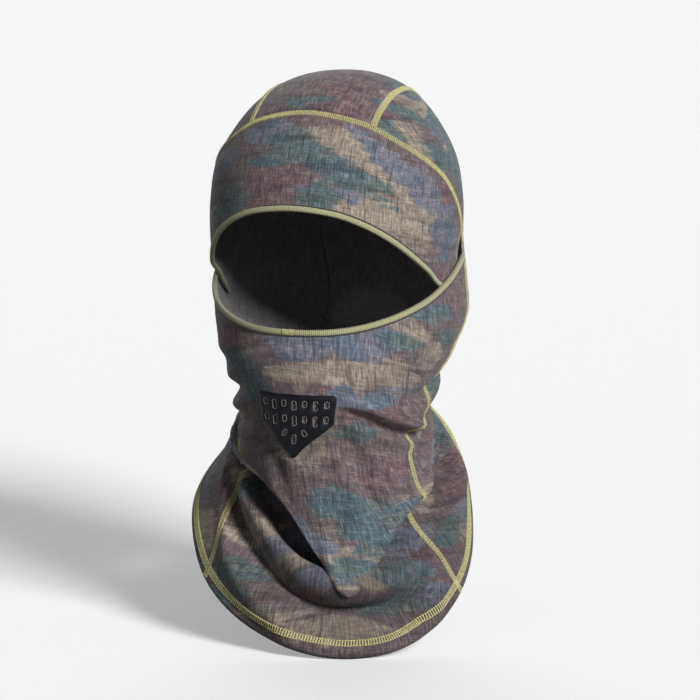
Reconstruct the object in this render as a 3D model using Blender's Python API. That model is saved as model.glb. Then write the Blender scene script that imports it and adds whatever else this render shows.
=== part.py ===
"""Hinged balaclava in its worn shape: hood, brow panel, mask and bib, cut from stretch cloth.

Metres, +Z up, the face looks along -Y, the wearer's left is +X. The origin is the middle
of the head cavity, on the plane through the middle of the face.

A place on the cloth is given by an angle around the head in degrees (0 in front, 90 at the
wearer's left, 180 at the nape) and a drop, the mean length of cloth down from the crown.
"""
import bmesh
import bpy
import numpy as np
from copy import copy
from math import cos, pi, radians, sin
from mathutils import Matrix
from mathutils.geometry import delaunay_2d_cdt

# ---- cloth and trim
CLOTH = 0.0012              # thickness of the cloth
GAP = 0.0003                # clearance between pieces that touch
SEAM_WIDTH = 0.0050         # flatlock seam
SEAM_PROUD = 0.0003
BINDING_WIDTH = 0.0040
BINDING_PROUD = 0.0006      # on both faces of the cloth
HEM_FOLD = 0.0034           # from the hem's edge to its coverstitch
STITCH_STAND_OFF = 0.0006
STITCH_THICKNESS = 0.0007
TUCK_DEPTH = 0.0050         # how far the brow panel lies behind the mask's edge
TUCK_RUN = 0.016            # length of cloth over which it goes there

# ---- head form
CROWN_Z = 0.1095
CROWN_Y = 0.017
BROW_Y = 0.004
HALF_WIDTH = 0.0775
FRONT, BACK = 0.1025, 0.103
DOME_POWER = 2.4            # 2 would be an ellipse
DOME_RINGS = 7
CROWN_SHIFT, SHIFT_HEIGHT = -0.002, 0.06    # the crown leans to the wearer's right
TEMPLE_WIDER, TEMPLE_HEIGHT, TEMPLE_SPREAD = 0.045, 0.46, 0.22
CROWN_STRIP = 0.042         # half width of the centre panel on the head
NAPE_STRIP = 0.034          # and at the nape and hem
STRIP_NARROWS = (0.10, 0.26)    # drops between which it goes from one to the other
STRIP_TURNS = (0.08, 0.18)      # drops between which its rows turn from straight to round
STRIP_FRONT = 60            # the strip starts within this angle of the middle

# ---- rings below the dome: heights in front, at the left, at the right and at the back,
# then half width, front reach, back reach, turn about Z in degrees, shift to the left and
# share of the hem's shape
LOWER_RINGS = (
    (-0.022, -0.022, -0.022, -0.022, 0.0780, 0.1025, 0.1015, 0, 0.0030, 0),
    (-0.044, -0.043, -0.043, -0.042, 0.0770, 0.1040, 0.0965, 0, 0.0040, 0),
    (-0.062, -0.060, -0.060, -0.056, 0.0720, 0.1095, 0.0900, 1, 0.0045, 0),
    (-0.080, -0.078, -0.078, -0.066, 0.0640, 0.1085, 0.0830, 3, 0.0050, 0),
    (-0.098, -0.094, -0.094, -0.073, 0.0605, 0.1050, 0.0790, 5, 0.0035, 0),
    (-0.122, -0.110, -0.109, -0.080, 0.0600, 0.0970, 0.0765, 7, 0.0010, 0),
    (-0.150, -0.127, -0.125, -0.086, 0.0645, 0.0950, 0.0780, 12, 0, 0),
    (-0.180, -0.143, -0.140, -0.092, 0.0720, 0.0970, 0.0820, 15, 0, 0.3),
    (-0.211, -0.160, -0.156, -0.098, 0.0805, 0.1010, 0.0870, 17, 0, 0.7),
    (-0.2425, -0.1755, -0.1715, -0.1045, 0.0905, 0.1050, 0.0905, 17, 0, 1),
)
HEM_CORNER = 0.035                      # how far the hem stands out between front and side
HEM_TWIST_FRONT, HEM_TWIST_BACK = 0.003, 0.012

# ---- seams and edges as (angle, drop), symmetrical about the face
BROW_SEAM = ((0, .0645), (20, .0677), (40, .0761), (57, .0905), (71, .1045), (82, .118),
             (92, .1345), (99, .149), (102.5, .161))
EYE_EDGE = ((0, .130), (20, .1335), (33, .1405), (46, .151), (58, .1635), (68, .1755),
            (78, .186), (90, .198))
MASK_EDGE = ((0, .2023), (16, .2019), (28, .2003), (41, .197), (54, .1923), (65, .1875),
             (73, .183), (82, .178), (92, .1725), (102.5, .1685))
SIDE_SEAM = ((102.5, .1685), (100, .210), (95, .2315), (88, .262), (76, .285), (64, .308),
             (57, .328), (61, .350))

# ---- vent patch
VENT_ANGLE, VENT_DROP = -3, 0.2415     # middle of its top edge
VENT_WIDTH, VENT_SIDE, VENT_HEIGHT = 0.0475, 0.0205, 0.0450
VENT_STAND_OFF, VENT_THICKNESS = 0.0009, 0.0012
OUTLINE_STEP = 0.006
SLOT_HALF_WIDTH = 0.0016
SLOT_LONG, SLOT_SHORT = 0.0072, 0.0050
# middle of each slot below the top edge, and its length, by column from the outside in
SLOT_COLUMNS = ((0.0196, 0.0068, SLOT_SHORT), (0.0131, 0.0080, SLOT_LONG),
                (0.0065, 0.0068, SLOT_SHORT), (0.0, 0.0080, SLOT_LONG))
SLOT_ROW_STEP = 0.0108
LOW_SLOTS = ((0.0, 0.0318, SLOT_LONG, 0.0), (0.0070, 0.0275, SLOT_SHORT, 0.5))

# ---- how finely the cloth is divided
METRES_PER_DEGREE = 0.0014              # around the head, to space the points of a curve
CURVE_POINTS = 600                      # of a seam or an edge before it is divided
LAST_POINTS = 80                        # of those, enough to reach above the coverstitch
FIRST_STEP = 0.007                      # next to the corners where crown and brow seams meet
BROW_SIDE, BROW_MIDDLE = 8, 6           # columns along the brow seam beside and at the strip
SIDE_ROWS = 14                          # rows along the side seams
HEM_ROWS = 3                            # the coverstitch's two edges and the hem itself
HOOD_COLUMNS = 7
MASK_COLUMNS = 18
BROW_ROWS = 5


def smoothstep(t):
    t = np.clip(t, 0, 1)
    return t * t * (3 - 2 * t)


def rings():
    """Every ring of the form, crown to hem, in the columns of LOWER_RINGS."""
    rows = []
    for i in range(1, DOME_RINGS + 1):
        tilt = pi / 2 * i / DOME_RINGS
        wide = sin(tilt) ** (2 / DOME_POWER)
        z = CROWN_Z * max(cos(tilt), 0.0) ** (2 / DOME_POWER)
        middle = BROW_Y + (CROWN_Y - BROW_Y) * (z / CROWN_Z) ** 1.5
        temple = 1 + TEMPLE_WIDER * np.exp(-((z / CROWN_Z - TEMPLE_HEIGHT) / TEMPLE_SPREAD) ** 2)
        shift = CROWN_SHIFT * smoothstep(z / SHIFT_HEIGHT)
        rows.append((z,) * 4 + (HALF_WIDTH * wide * temple, FRONT * wide - middle,
                                BACK * wide + middle, 0, shift, 0))
    return rows + list(LOWER_RINGS)


def ring_points(row, angle):
    """Points of one ring at these angles in radians."""
    front_z, left_z, right_z, back_z, half, front, back, turn, shift, hem = row
    s, c = np.sin(angle), np.cos(angle)
    z = (front_z + back_z + left_z + right_z) / 4 + (front_z - back_z) / 2 * c
    z = z + (left_z - right_z) / 2 * s
    z = z + (front_z + back_z - left_z - right_z) / 4 * np.cos(2 * angle)
    x, y = half * s, (back - front) / 2 - (front + back) / 2 * c
    ahead = smoothstep(c + 0.5)
    out = 1 + hem * HEM_CORNER * np.sin(2 * angle) ** 2 * ahead
    twist = HEM_TWIST_BACK + (HEM_TWIST_FRONT - HEM_TWIST_BACK) * ahead
    x, y, z = x * out, y * out, z - hem * twist * np.sin(2 * angle)
    t = radians(turn)
    return np.stack([x * cos(t) - y * sin(t) + shift, x * sin(t) + y * cos(t), z], -1)


def ring_drops():
    """Drop of each ring."""
    angle = np.linspace(0, 2 * pi, 64, endpoint=False)
    points = [np.tile([0.0, CROWN_Y, CROWN_Z], (64, 1))] + [ring_points(r, angle) for r in RINGS]
    steps = [np.linalg.norm(b - a, axis=-1).mean() for a, b in zip(points[:-1], points[1:])]
    return np.concatenate([[0.0], np.cumsum(steps)])


RINGS = rings()
DROPS = ring_drops()
HEM = DROPS[-1]
SEAM_SIDE = SEAM_WIDTH / 2 + 3 * GAP    # from a seam's middle to the panels beside it
BROW_BELOW = -1                         # which side of a line from right to left is below


def form(angle, drop):
    """Places on the outer face of the cloth, by a smooth curve down through the rings."""
    angle, drop = np.broadcast_arrays(np.radians(angle), np.asarray(drop, float))
    shape = angle.shape
    angle, drop = angle.ravel(), drop.ravel()
    crown = np.tile([0.0, CROWN_Y, CROWN_Z], (len(angle), 1))
    points = [ring_points(RINGS[0], angle + pi), crown] + [ring_points(r, angle) for r in RINGS]
    points = np.stack(points + [2 * points[-1] - points[-2]])
    knots = np.concatenate([[-DROPS[1]], DROPS, [2 * DROPS[-1] - DROPS[-2]]])
    i = np.clip(np.searchsorted(knots, drop, side="right") - 1, 1, len(knots) - 3)
    k = np.arange(len(drop))
    p = [points[i + j, k] for j in (-1, 0, 1, 2)]
    return through(p, [knots[i + j] for j in (-1, 0, 1, 2)], drop).reshape(shape + (3,))


def through(p, t, u):
    """The smooth curve through four points at the values t, read at u."""
    def between(a, b, ta, tb):
        w = ((u - ta) / (tb - ta))[:, None]
        return a * (1 - w) + b * w

    first = [between(p[j], p[j + 1], t[j], t[j + 1]) for j in range(3)]
    second = [between(first[j], first[j + 1], t[j], t[j + 2]) for j in range(2)]
    return between(second[0], second[1], t[1], t[2])


def plan(angle, drop):
    """The cloth spread flat around the crown, where angle and drop have no pole."""
    return drop * np.sin(np.radians(angle)), -drop * np.cos(np.radians(angle))


def unplan(p, q):
    return np.degrees(np.arctan2(p, -q)), np.hypot(p, q)


def outward(angle, drop):
    """Unit normals of the form."""
    step = 0.0015
    p, q = plan(angle, drop)
    across = form(*unplan(p + step, q)) - form(*unplan(p - step, q))
    down = form(*unplan(p, q + step)) - form(*unplan(p, q - step))
    n = np.cross(across, down)
    return n / np.linalg.norm(n, axis=-1, keepdims=True)


def smooth_curve(points):
    """A dense smooth curve through a short list of (angle, drop)."""
    pts = np.array(points, float)
    pts = np.vstack([2 * pts[0] - pts[1], pts, 2 * pts[-1] - pts[-2]])
    length = np.hypot((pts[1:, 0] - pts[:-1, 0]) * METRES_PER_DEGREE, pts[1:, 1] - pts[:-1, 1])
    knots = np.concatenate([[0], np.cumsum(np.sqrt(length))])
    u = np.linspace(knots[1], knots[-2], CURVE_POINTS)
    i = np.clip(np.searchsorted(knots, u, side="right") - 1, 1, len(knots) - 3)
    return through([pts[i + j] for j in (-1, 0, 1, 2)], [knots[i + j] for j in (-1, 0, 1, 2)], u)


def mirrored(points):
    """A half outline made whole, from the wearer's right to the left."""
    return [(-a, d) for a, d in points[:0:-1]] + list(points)


def to_hem(curve, steps):
    """Divides a curve that ends at the hem, with rows at both edges of the coverstitch."""
    rows = [HEM - HEM_FOLD - SEAM_WIDTH, HEM - HEM_FOLD, HEM]
    tail = curve[-LAST_POINTS:]
    last = np.stack([np.interp(rows, tail[:, 1], tail[:, 0]), rows], -1)
    above = curve[:np.argmax(curve[:, 1] > rows[0])]
    return np.vstack([divide(np.vstack([above, last[:1]]), steps), last[1:]])


def divide(curve, steps):
    """Places along a dense curve at these distances, given as shares of its length on the form."""
    points = form(curve[:, 0], curve[:, 1])
    run = np.concatenate([[0], np.cumsum(np.linalg.norm(np.diff(points, axis=0), axis=-1))])
    at = np.asarray(steps) * run[-1]
    return np.stack([np.interp(at, run, curve[:, 0]), np.interp(at, run, curve[:, 1])], -1)


def curve_length(curve):
    return np.linalg.norm(np.diff(form(curve[:, 0], curve[:, 1]), axis=0), axis=-1).sum()


def short_first(curve, count):
    """Even steps after a first one of FIRST_STEP."""
    first = FIRST_STEP / curve_length(curve)
    return np.concatenate([[0], np.linspace(first, 1, count)])


BROW_LINE = smooth_curve(mirrored(BROW_SEAM))
MASK_LINE = smooth_curve(mirrored(MASK_EDGE))
EYE_LINE = smooth_curve(mirrored(EYE_EDGE))


def ramp(s, between):
    """From 0 to 1 as the drop goes between two values."""
    return smoothstep((s - between[0]) / (between[1] - between[0]))


def strip_width(s):
    """Half width of the centre panel in the plan, s being the drop along its middle."""
    strip = CROWN_STRIP + (NAPE_STRIP - CROWN_STRIP) * ramp(s, STRIP_NARROWS)
    drops = np.linspace(0.008, HEM, 200)
    half = np.linalg.norm(form(90, drops) - form(-90, drops), axis=-1) / 2
    return strip * np.interp(np.abs(s), drops, drops / half)


def strip_place(t, across):
    """A place on the centre strip: t from brow seam to hem, across from -1 to 1."""
    front = np.abs(BROW_LINE[:, 0]) < STRIP_FRONT
    brow_p, brow_q = plan(BROW_LINE[front, 0], BROW_LINE[front, 1])
    start = np.full(np.shape(across), -BROW_SEAM[0][1])
    for _ in range(8):
        start = np.interp(across * strip_width(start), brow_p, brow_q)
    s = start + t * (HEM - start)
    p = across * strip_width(s)
    ring = ramp(s, STRIP_TURNS)
    q = (1 - ring) * s + ring * np.sqrt(np.maximum(s * s - p * p, 0))
    return unplan(p, q)


class Seam:
    """A line sewn between two panels, sampled where both panels have their edge points."""

    def __init__(self, places):
        self.places = places
        self.normal = outward(places[:, 0], places[:, 1])
        self.line = form(places[:, 0], places[:, 1])
        along = np.gradient(self.line, axis=0)
        self.along = along / np.linalg.norm(along, axis=-1, keepdims=True)
        self.square = np.cross(self.normal, self.along)

    def beside(self, width):
        """Steps in (angle, drop) to the places this far to one side of the seam."""
        small = np.array((0.05, 0.0001))
        here, move = self.places, self.square * width
        around = (form(here[:, 0] + small[0], here[:, 1]) - self.line) / small[0]
        down = (form(here[:, 0], here[:, 1] + small[1]) - self.line) / small[1]
        aa, dd, ad = (around * around).sum(-1), (down * down).sum(-1), (around * down).sum(-1)
        ma, md = (move * around).sum(-1), (move * down).sum(-1)
        det = aa * dd - ad * ad
        return np.stack([(ma * dd - md * ad) / det, (md * aa - ma * ad) / det], -1)

    def after(self, first):
        """The seam without its first places."""
        rest = copy(self)
        rest.places, rest.normal, rest.line = (a[first:] for a in (self.places, self.normal, self.line))
        rest.along, rest.square = self.along[first:], self.square[first:]
        return rest

    def tape(self, name, start=0.0):
        """The flatlock seam itself, its first end cut short by start."""
        line = self.line.copy()
        line[0] += self.along[0] * start
        edges = [line - self.square * SEAM_WIDTH / 2, line + self.square * SEAM_WIDTH / 2]
        tape(name, edges, self.normal, SEAM_PROUD, CLOTH, "thread")


class Panel:
    """The outer face of a panel: a grid of places."""

    def __init__(self, grid):
        self.grid = grid
        self.normal = outward(grid[..., 0], grid[..., 1])
        self.point = form(grid[..., 0], grid[..., 1])

    def sink(self, depth):
        """Pushes the cloth inwards by a depth for each place."""
        self.point = self.point - self.normal * depth[..., None]

    def solid(self, name):
        """The panel as a closed shell."""
        n, m = self.point.shape[:2]
        outside, inside = self.point.reshape(-1, 3), (self.point - self.normal * CLOTH).reshape(-1, 3)
        index = np.arange(n * m).reshape(n, m)
        quads = [(index[i, j], index[i + 1, j], index[i + 1, j + 1], index[i, j + 1])
                 for i in range(n - 1) for j in range(m - 1)]
        rim = np.concatenate([index[:, 0], index[-1, 1:], index[-2::-1, -1], index[0, -2:0:-1]])
        return closed_shell(name, outside, inside, quads, [rim], "cloth")


def closed_shell(name, outside, inside, faces, rims, slot):
    """Joins two layers of the same faces by walls along their rims."""
    k = len(outside)
    polygons = [tuple(int(i) for i in f) for f in faces]
    polygons += [tuple(int(i) + k for i in f[::-1]) for f in faces]
    for rim in rims:
        for a, b in zip(rim, np.roll(rim, -1)):
            polygons.append((int(b), int(a), int(a) + k, int(b) + k))
    data = bpy.data.meshes.new(name)
    data.from_pydata(np.vstack([outside, inside]).tolist(), [], polygons)
    mesh = bmesh.new()
    mesh.from_mesh(data)
    bmesh.ops.recalc_face_normals(mesh, faces=mesh.faces)
    if mesh.calc_volume(signed=True) < 0:
        bmesh.ops.reverse_faces(mesh, faces=mesh.faces)
    mesh.to_mesh(data)
    mesh.free()
    data.materials.append(MATERIALS[slot])
    data.shade_smooth()
    data.set_sharp_from_angle(angle=radians(40))
    body = bpy.data.objects.new(name, data)
    bpy.context.collection.objects.link(body)
    return body


def tape(name, edges, normal, outer, inner, slot, closed=False):
    """A flat tape between two edges of equal count."""
    n = len(edges[0])
    outside = np.vstack([e + normal * outer for e in edges])
    inside = np.vstack([e - normal * inner for e in edges])
    last = n if closed else n - 1
    quads = [(i, n + i, n + (i + 1) % n, (i + 1) % n) for i in range(last)]
    near, far = np.arange(n), np.arange(2 * n - 1, n - 1, -1)
    rims = [near, far] if closed else [np.concatenate([near, far])]
    return closed_shell(name, outside, inside, quads, rims, slot)


def coons(top, bottom, left, right):
    """A patch between four edges, each an array of (angle, drop)."""
    n, m = len(left), len(top)
    u, v = np.linspace(0, 1, m)[None, :, None], np.linspace(0, 1, n)[:, None, None]
    ruled = (1 - v) * top[None] + v * bottom[None] + (1 - u) * left[:, None] + u * right[:, None]
    corners = (1 - v) * ((1 - u) * top[0] + u * top[-1]) + v * ((1 - u) * bottom[0] + u * bottom[-1])
    return ruled - corners


def seam_places():
    """Samples of every seam on the wearer's left."""
    t = np.linspace(0, 1, 800)
    strip = np.stack(strip_place(t, np.ones_like(t)), -1)
    corner = strip[0, 0]
    crown = to_hem(strip, short_first(strip, BROW_SIDE + SIDE_ROWS - 2))
    side_curve = BROW_LINE[BROW_LINE[:, 0] >= corner]
    brow = divide(side_curve, short_first(side_curve, BROW_SIDE))
    brow[0], brow[-1] = crown[0], BROW_SEAM[-1]
    low = smooth_curve(SIDE_SEAM[:-1] + ((SIDE_SEAM[-1][0], HEM),))
    side = np.vstack([brow[-1], to_hem(low, np.linspace(0, 1, SIDE_ROWS - 2))])
    middle = BROW_LINE[np.abs(BROW_LINE[:, 0]) <= corner]
    middle = divide(middle, np.linspace(0, 1, BROW_MIDDLE + 1))
    middle[0], middle[-1] = brow[0] * (-1, 1), brow[0]
    return crown, brow, side, middle


def mirror(places):
    return places * (-1, 1)


def beside_seam(seam, width):
    """Places this far to one side of a seam, its last rows kept level with the hem."""
    places, step = seam.places, seam.beside(width)
    beside = places + step
    slope = np.gradient(places[:, 0]) / np.gradient(places[:, 1])
    level = np.s_[-HEM_ROWS:]
    beside[level, 0] -= step[level, 1] * slope[level]
    beside[level, 1] = places[level, 1]
    return beside


def crown_panel(crown, middle):
    """The centre strip, from the brow over the crown and down the nape."""
    left = beside_seam(Seam(crown), SEAM_SIDE)
    right = beside_seam(Seam(mirror(crown)), -SEAM_SIDE)
    front = middle + Seam(middle).beside(SEAM_SIDE)
    front[-1] += left[0] - crown[0]
    front[0] = mirror(front[-1])
    share = np.linspace(0, 1, len(middle))
    grid = []
    for a, b in zip(right, left):
        (pa, qa), (pb, qb) = plan(*a), plan(*b)
        across, chord = unplan(pa + share * (pb - pa), qa + share * (qb - qa))
        drops = chord + ramp(min(qa, qb), STRIP_TURNS) * (a[1] + share * (b[1] - a[1]) - chord)
        grid.append(np.stack([across % 360, drops], -1))
    grid[0] = front
    panel = Panel(np.array(grid))
    panel.solid("crown_panel")
    return panel


def hood_side(name, inner, outer):
    """From the crown seam to the brow seam and, below the temple, to the side seam."""
    u = np.linspace(0, 1, HOOD_COLUMNS + 1)[None, :, None]
    panel = Panel(inner[:, None] * (1 - u) + outer[:, None] * u)
    panel.solid(name)
    return panel


def bound_edge(name, edge, sign, sink=None, ends=None):
    """Binds a free edge and returns the line where its panel starts."""
    line = Seam(edge)
    near = edge + line.beside(sign * BINDING_WIDTH)
    start = edge + line.beside(sign * (BINDING_WIDTH + GAP))
    for k, side in zip((0, -1), ends or ()):
        run = np.linalg.norm(form(*side[1]) - form(*side[0]))
        near[k] = side[0] + (side[1] - side[0]) * BINDING_WIDTH / run
        start[k] = side[0] + (side[1] - side[0]) * (BINDING_WIDTH + GAP) / run
    depth = np.zeros(len(edge)) if sink is None else sink(edge)
    edges = [form(e[:, 0], e[:, 1]) - line.normal * depth[:, None] for e in (edge, near)]
    tape(name, edges, line.normal, BINDING_PROUD, CLOTH + BINDING_PROUD, "binding")
    return start


def tuck(places):
    """Depth of the brow panel behind the mask's edge."""
    mask = np.interp(places[..., 0], MASK_LINE[:, 0], MASK_LINE[:, 1])
    return TUCK_DEPTH * smoothstep((places[..., 1] - mask) / TUCK_RUN + 1)


def brow_panel(brow):
    """From the brow seam to the eye opening, its ends tucked behind the mask's edge."""
    top = brow + Seam(brow).beside(SEAM_SIDE * BROW_BELOW)
    edge = divide(EYE_LINE, np.linspace(0, 1, len(brow)))
    bottom = bound_edge("brow_binding", edge, -BROW_BELOW, tuck)
    run = np.linspace(0, 1, BROW_ROWS + 1)[:, None, None]
    panel = Panel(top[None] * (1 - run) + bottom[None] * run)
    panel.sink(tuck(panel.grid))
    panel.solid("brow_panel")


def front_panel(side_left, side_right):
    """Mask and bib in one cloth, from the mask's edge to the hem."""
    edge = divide(MASK_LINE, np.linspace(0, 1, MASK_COLUMNS + 1))
    edge[0], edge[-1] = side_right[0], side_left[0]
    top = bound_edge("mask_binding", edge, BROW_BELOW, ends=(side_right, side_left))
    left, right = side_left.copy(), side_right.copy()
    left[0], right[0] = top[-1], top[0]
    bottom = np.linspace(right[-1], left[-1], MASK_COLUMNS + 1)
    grid = coons(top, bottom, right, left)
    grid[-HEM_ROWS:, :, 1] = left[-HEM_ROWS:, 1][:, None]
    panel = Panel(grid)
    panel.solid("front_panel")
    return panel


def hem_stitch(panels):
    """The coverstitch that holds the hem, once around the bib."""
    high, low, normal = (np.vstack([p[k] for p in panels]) for k in range(3))
    tape("hem_coverstitch", [high, low], normal, STITCH_STAND_OFF + STITCH_THICKNESS,
         -STITCH_STAND_OFF, "thread", closed=True)


def hem_band(panel, turn):
    """A panel's two coverstitch rows and their normals, in order around the hem."""
    return [a[::turn] for a in (panel.point[-3], panel.point[-2], panel.normal[-2])]


def rounded(corners, radii, steps=4):
    """A closed outline with a round at each corner."""
    outline = []
    n = len(corners)
    for k in range(n):
        here, before, after = (np.array(corners[j % n]) for j in (k, k - 1, k + 1))
        a, b = before - here, after - here
        a, b = a / np.linalg.norm(a), b / np.linalg.norm(b)
        half = np.arccos(np.clip(a @ b, -1, 1)) / 2
        centre = here + (a + b) / np.linalg.norm(a + b) * radii[k] / sin(half)
        first, last = here + a * radii[k] / np.tan(half), here + b * radii[k] / np.tan(half)
        for t in np.linspace(0, 1, steps):
            towards = first * (1 - t) + last * t - centre
            outline.append(centre + towards / np.linalg.norm(towards) * radii[k])
    dense = []
    for a, b in zip(outline, outline[1:] + outline[:1]):
        parts = int(np.ceil(np.linalg.norm(b - a) / OUTLINE_STEP))
        dense += [a + (b - a) * i / parts for i in range(parts)]
    return dense


def slots():
    """Outlines of the vent's slots."""
    found = []
    for row in (0, 1):
        for x, y, length in SLOT_COLUMNS:
            for side in (1, -1) if x else (1,):
                found.append((x * side, y + row * SLOT_ROW_STEP, length, 0.0))
    for x, y, length, lean in LOW_SLOTS:
        for side in (1, -1) if x else (1,):
            found.append((x * side, y, length, lean * side))
    outlines = []
    for x, y, length, lean in found:
        half = length / 2 - SLOT_HALF_WIDTH
        ends = [(sin(a) * SLOT_HALF_WIDTH, cos(a) * SLOT_HALF_WIDTH + (half if cos(a) > 0 else -half))
                for a in np.radians(np.arange(30, 390, 60))]
        outlines.append([(x + u * cos(lean) - v * sin(lean), y + u * sin(lean) + v * cos(lean))
                         for u, v in ends])
    return outlines


def vent_patch():
    """The soft shield with breathing slots in front of the mouth."""
    half = VENT_WIDTH / 2
    shield = rounded([(-half, 0), (half, 0), (half, VENT_SIDE), (0, VENT_HEIGHT), (-half, VENT_SIDE)],
                     [0.003, 0.003, 0.003, 0.004, 0.003])
    loops = [shield] + slots()
    flat = [tuple(p) for loop in loops for p in loop]
    starts = np.cumsum([0] + [len(loop) for loop in loops])
    rings_in = [list(range(a, b)) for a, b in zip(starts[:-1], starts[1:])]
    points, _, faces, origin, _, _ = delaunay_2d_cdt(flat, [], rings_in, 2, 1e-7)
    place = {old: new for new, olds in enumerate(origin) for old in olds}
    rims = [[place[i] for i in ring] for ring in rings_in]
    step = 0.001
    at = np.array([VENT_ANGLE, VENT_DROP + VENT_HEIGHT / 2])
    per_degree = np.linalg.norm(form(at[0] + 1, at[1]) - form(*at))
    per_drop = np.linalg.norm(form(at[0], at[1] + step) - form(*at)) / step
    xy = np.array(points)
    angle, drop = VENT_ANGLE + xy[:, 0] / per_degree, VENT_DROP + xy[:, 1] / per_drop
    base, normal = form(angle, drop), outward(angle, drop)
    closed_shell("vent_patch", base + normal * (VENT_STAND_OFF + VENT_THICKNESS),
                 base + normal * VENT_STAND_OFF, faces, rims, "rubber")


def hang_mask():
    """Parents the moving pieces to an empty on the axis from ear to ear."""
    _, y, z = form(*SIDE_SEAM[0])
    axis = bpy.data.objects.new("mask_axis", None)
    axis.location = (0, y, z)
    bpy.context.collection.objects.link(axis)
    for name in ("mask_binding", "vent_patch"):
        piece = bpy.data.objects[name]
        piece.parent = axis
        piece.matrix_parent_inverse = Matrix.Translation(-axis.location)


def build():
    crown, brow, side, middle = seam_places()
    bands = {}
    for name, sign in (("left", 1), ("right", -1)):
        crown_seam = Seam(crown * (sign, 1))
        outer_seam = Seam(np.vstack([brow, side[1:]]) * (sign, 1))
        inner = beside_seam(crown_seam, -SEAM_SIDE * sign)
        outer = beside_seam(outer_seam, SEAM_SIDE * sign)
        bands[name] = hem_band(hood_side("hood_side_" + name, inner[1:], outer[1:]), -sign)
        crown_seam.tape("crown_seam_" + name, start=SEAM_SIDE)
        bands["front_" + name] = beside_seam(outer_seam, -SEAM_SIDE * sign)[len(brow):]
        outer_seam.after(len(brow)).tape("side_seam_" + name)
    whole = np.vstack([mirror(brow)[::-1], middle[1:], brow[1:]])
    Seam(whole).tape("brow_seam")
    back = hem_band(crown_panel(crown, middle), -1)
    brow_panel(whole)
    front = hem_band(front_panel(bands["front_left"], bands["front_right"]), 1)
    hem_stitch([front, bands["left"], back, bands["right"]])
    vent_patch()
    hang_mask()


MATERIALS = {}


def material(name, colour, roughness):
    made = bpy.data.materials.new(name)
    made.use_nodes = True
    shader = made.node_tree.nodes["Principled BSDF"]
    shader.inputs["Base Color"].default_value = (*colour, 1)
    shader.inputs["Roughness"].default_value = roughness
    shader.inputs["Metallic"].default_value = 0.0
    return made


for old in list(bpy.data.objects):
    bpy.data.objects.remove(old, do_unlink=True)
MATERIALS["cloth"] = material("printed_cloth", (0.24, 0.22, 0.23), 0.95)
MATERIALS["binding"] = material("edge_binding", (0.49, 0.46, 0.26), 0.85)
MATERIALS["thread"] = material("seam_thread", (0.45, 0.40, 0.16), 0.75)
MATERIALS["rubber"] = material("vent_rubber", (0.012, 0.012, 0.014), 0.45)
build()
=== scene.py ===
"""The hinged balaclava as it looks: printed stretch cloth, bound edges, flatlock seams, vent.

A place on the cloth is an angle around the head in degrees (0 in front, 90 at the wearer's
left) and a drop, the mean length of cloth down from the crown in metres.
"""
from math import cos, pi, radians, sin, sqrt

import bmesh
import bpy
import numpy as np
from mathutils import Matrix, Vector
from mathutils.geometry import delaunay_2d_cdt


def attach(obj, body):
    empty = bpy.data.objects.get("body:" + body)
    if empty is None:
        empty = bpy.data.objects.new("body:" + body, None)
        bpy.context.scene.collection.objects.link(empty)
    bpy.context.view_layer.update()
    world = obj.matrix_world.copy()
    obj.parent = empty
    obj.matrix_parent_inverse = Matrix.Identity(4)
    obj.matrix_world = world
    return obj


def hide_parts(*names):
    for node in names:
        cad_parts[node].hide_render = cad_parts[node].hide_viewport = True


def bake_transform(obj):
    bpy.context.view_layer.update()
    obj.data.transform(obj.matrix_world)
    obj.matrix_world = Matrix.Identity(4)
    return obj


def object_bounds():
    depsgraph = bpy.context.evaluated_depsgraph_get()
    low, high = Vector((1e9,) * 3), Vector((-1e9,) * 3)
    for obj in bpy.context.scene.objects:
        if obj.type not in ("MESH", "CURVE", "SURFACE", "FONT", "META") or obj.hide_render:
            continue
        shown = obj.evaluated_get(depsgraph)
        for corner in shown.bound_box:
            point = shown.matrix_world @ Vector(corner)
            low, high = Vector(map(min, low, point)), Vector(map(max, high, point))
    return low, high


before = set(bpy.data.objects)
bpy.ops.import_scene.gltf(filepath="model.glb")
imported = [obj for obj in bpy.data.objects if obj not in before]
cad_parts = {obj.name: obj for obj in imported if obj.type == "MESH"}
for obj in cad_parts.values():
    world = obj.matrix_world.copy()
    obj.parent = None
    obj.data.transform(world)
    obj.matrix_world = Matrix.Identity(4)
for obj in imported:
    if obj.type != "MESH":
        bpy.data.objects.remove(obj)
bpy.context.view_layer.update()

MM = 0.001  # the tables of rings and blotches are in millimetres

# ---- cloth and trim, metres
CLOTH = 0.0009
CELL = 0.0022  # mesh size of the cloth
SEAM_WIDTH = 0.0042
SEAM_STEP, EDGE_STEP = 0.0008, 0.0015  # between the places worked out along seams and edges
RUNG_PITCH = 0.0013  # between the threads that cross a flatlock seam
HEM_PITCH = 0.0018  # and the hem's coverstitch
THREAD, HEM_THREAD = 0.00042, 0.00050  # radius of the threads of a seam and of the hem
RUNG_SLANT = 0.15  # share of the pitch by which they lean
RUNG_PLACES = (-1, -0.94, -0.5, 0.5, 0.94, 1)  # across the seam
RUNG_TAPER = (0.35, 0.85, 1, 1, 0.85, 0.35)  # the thread's thickness at each
RUNG_TOP, RUNG_DIP = 0.0002, 0.0004  # height off the cloth, and how far the ends drop
COVER_PLACE, COVER_TOP = 0.8, 0.0003  # the finer threads along both sides
BINDING_WIDTH = 0.0036
BINDING_HALF = 0.0015  # half of the folded tape's thickness
BINDING_FULL, BINDING_POWERS = 1.05, (0.8, 0.75)  # how square its section is
EDGE_THREAD, EDGE_PITCH = 0.00055, 0.0006
EDGE_GAP, EDGE_TOP = 0.0003, 0.0002  # of that thread from the tape and the cloth
EYE_ENDS = 45  # points of the eye's edge hidden behind the mask at each end
HEM_FOLD = 0.0034  # from the hem's edge to its coverstitch
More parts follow.
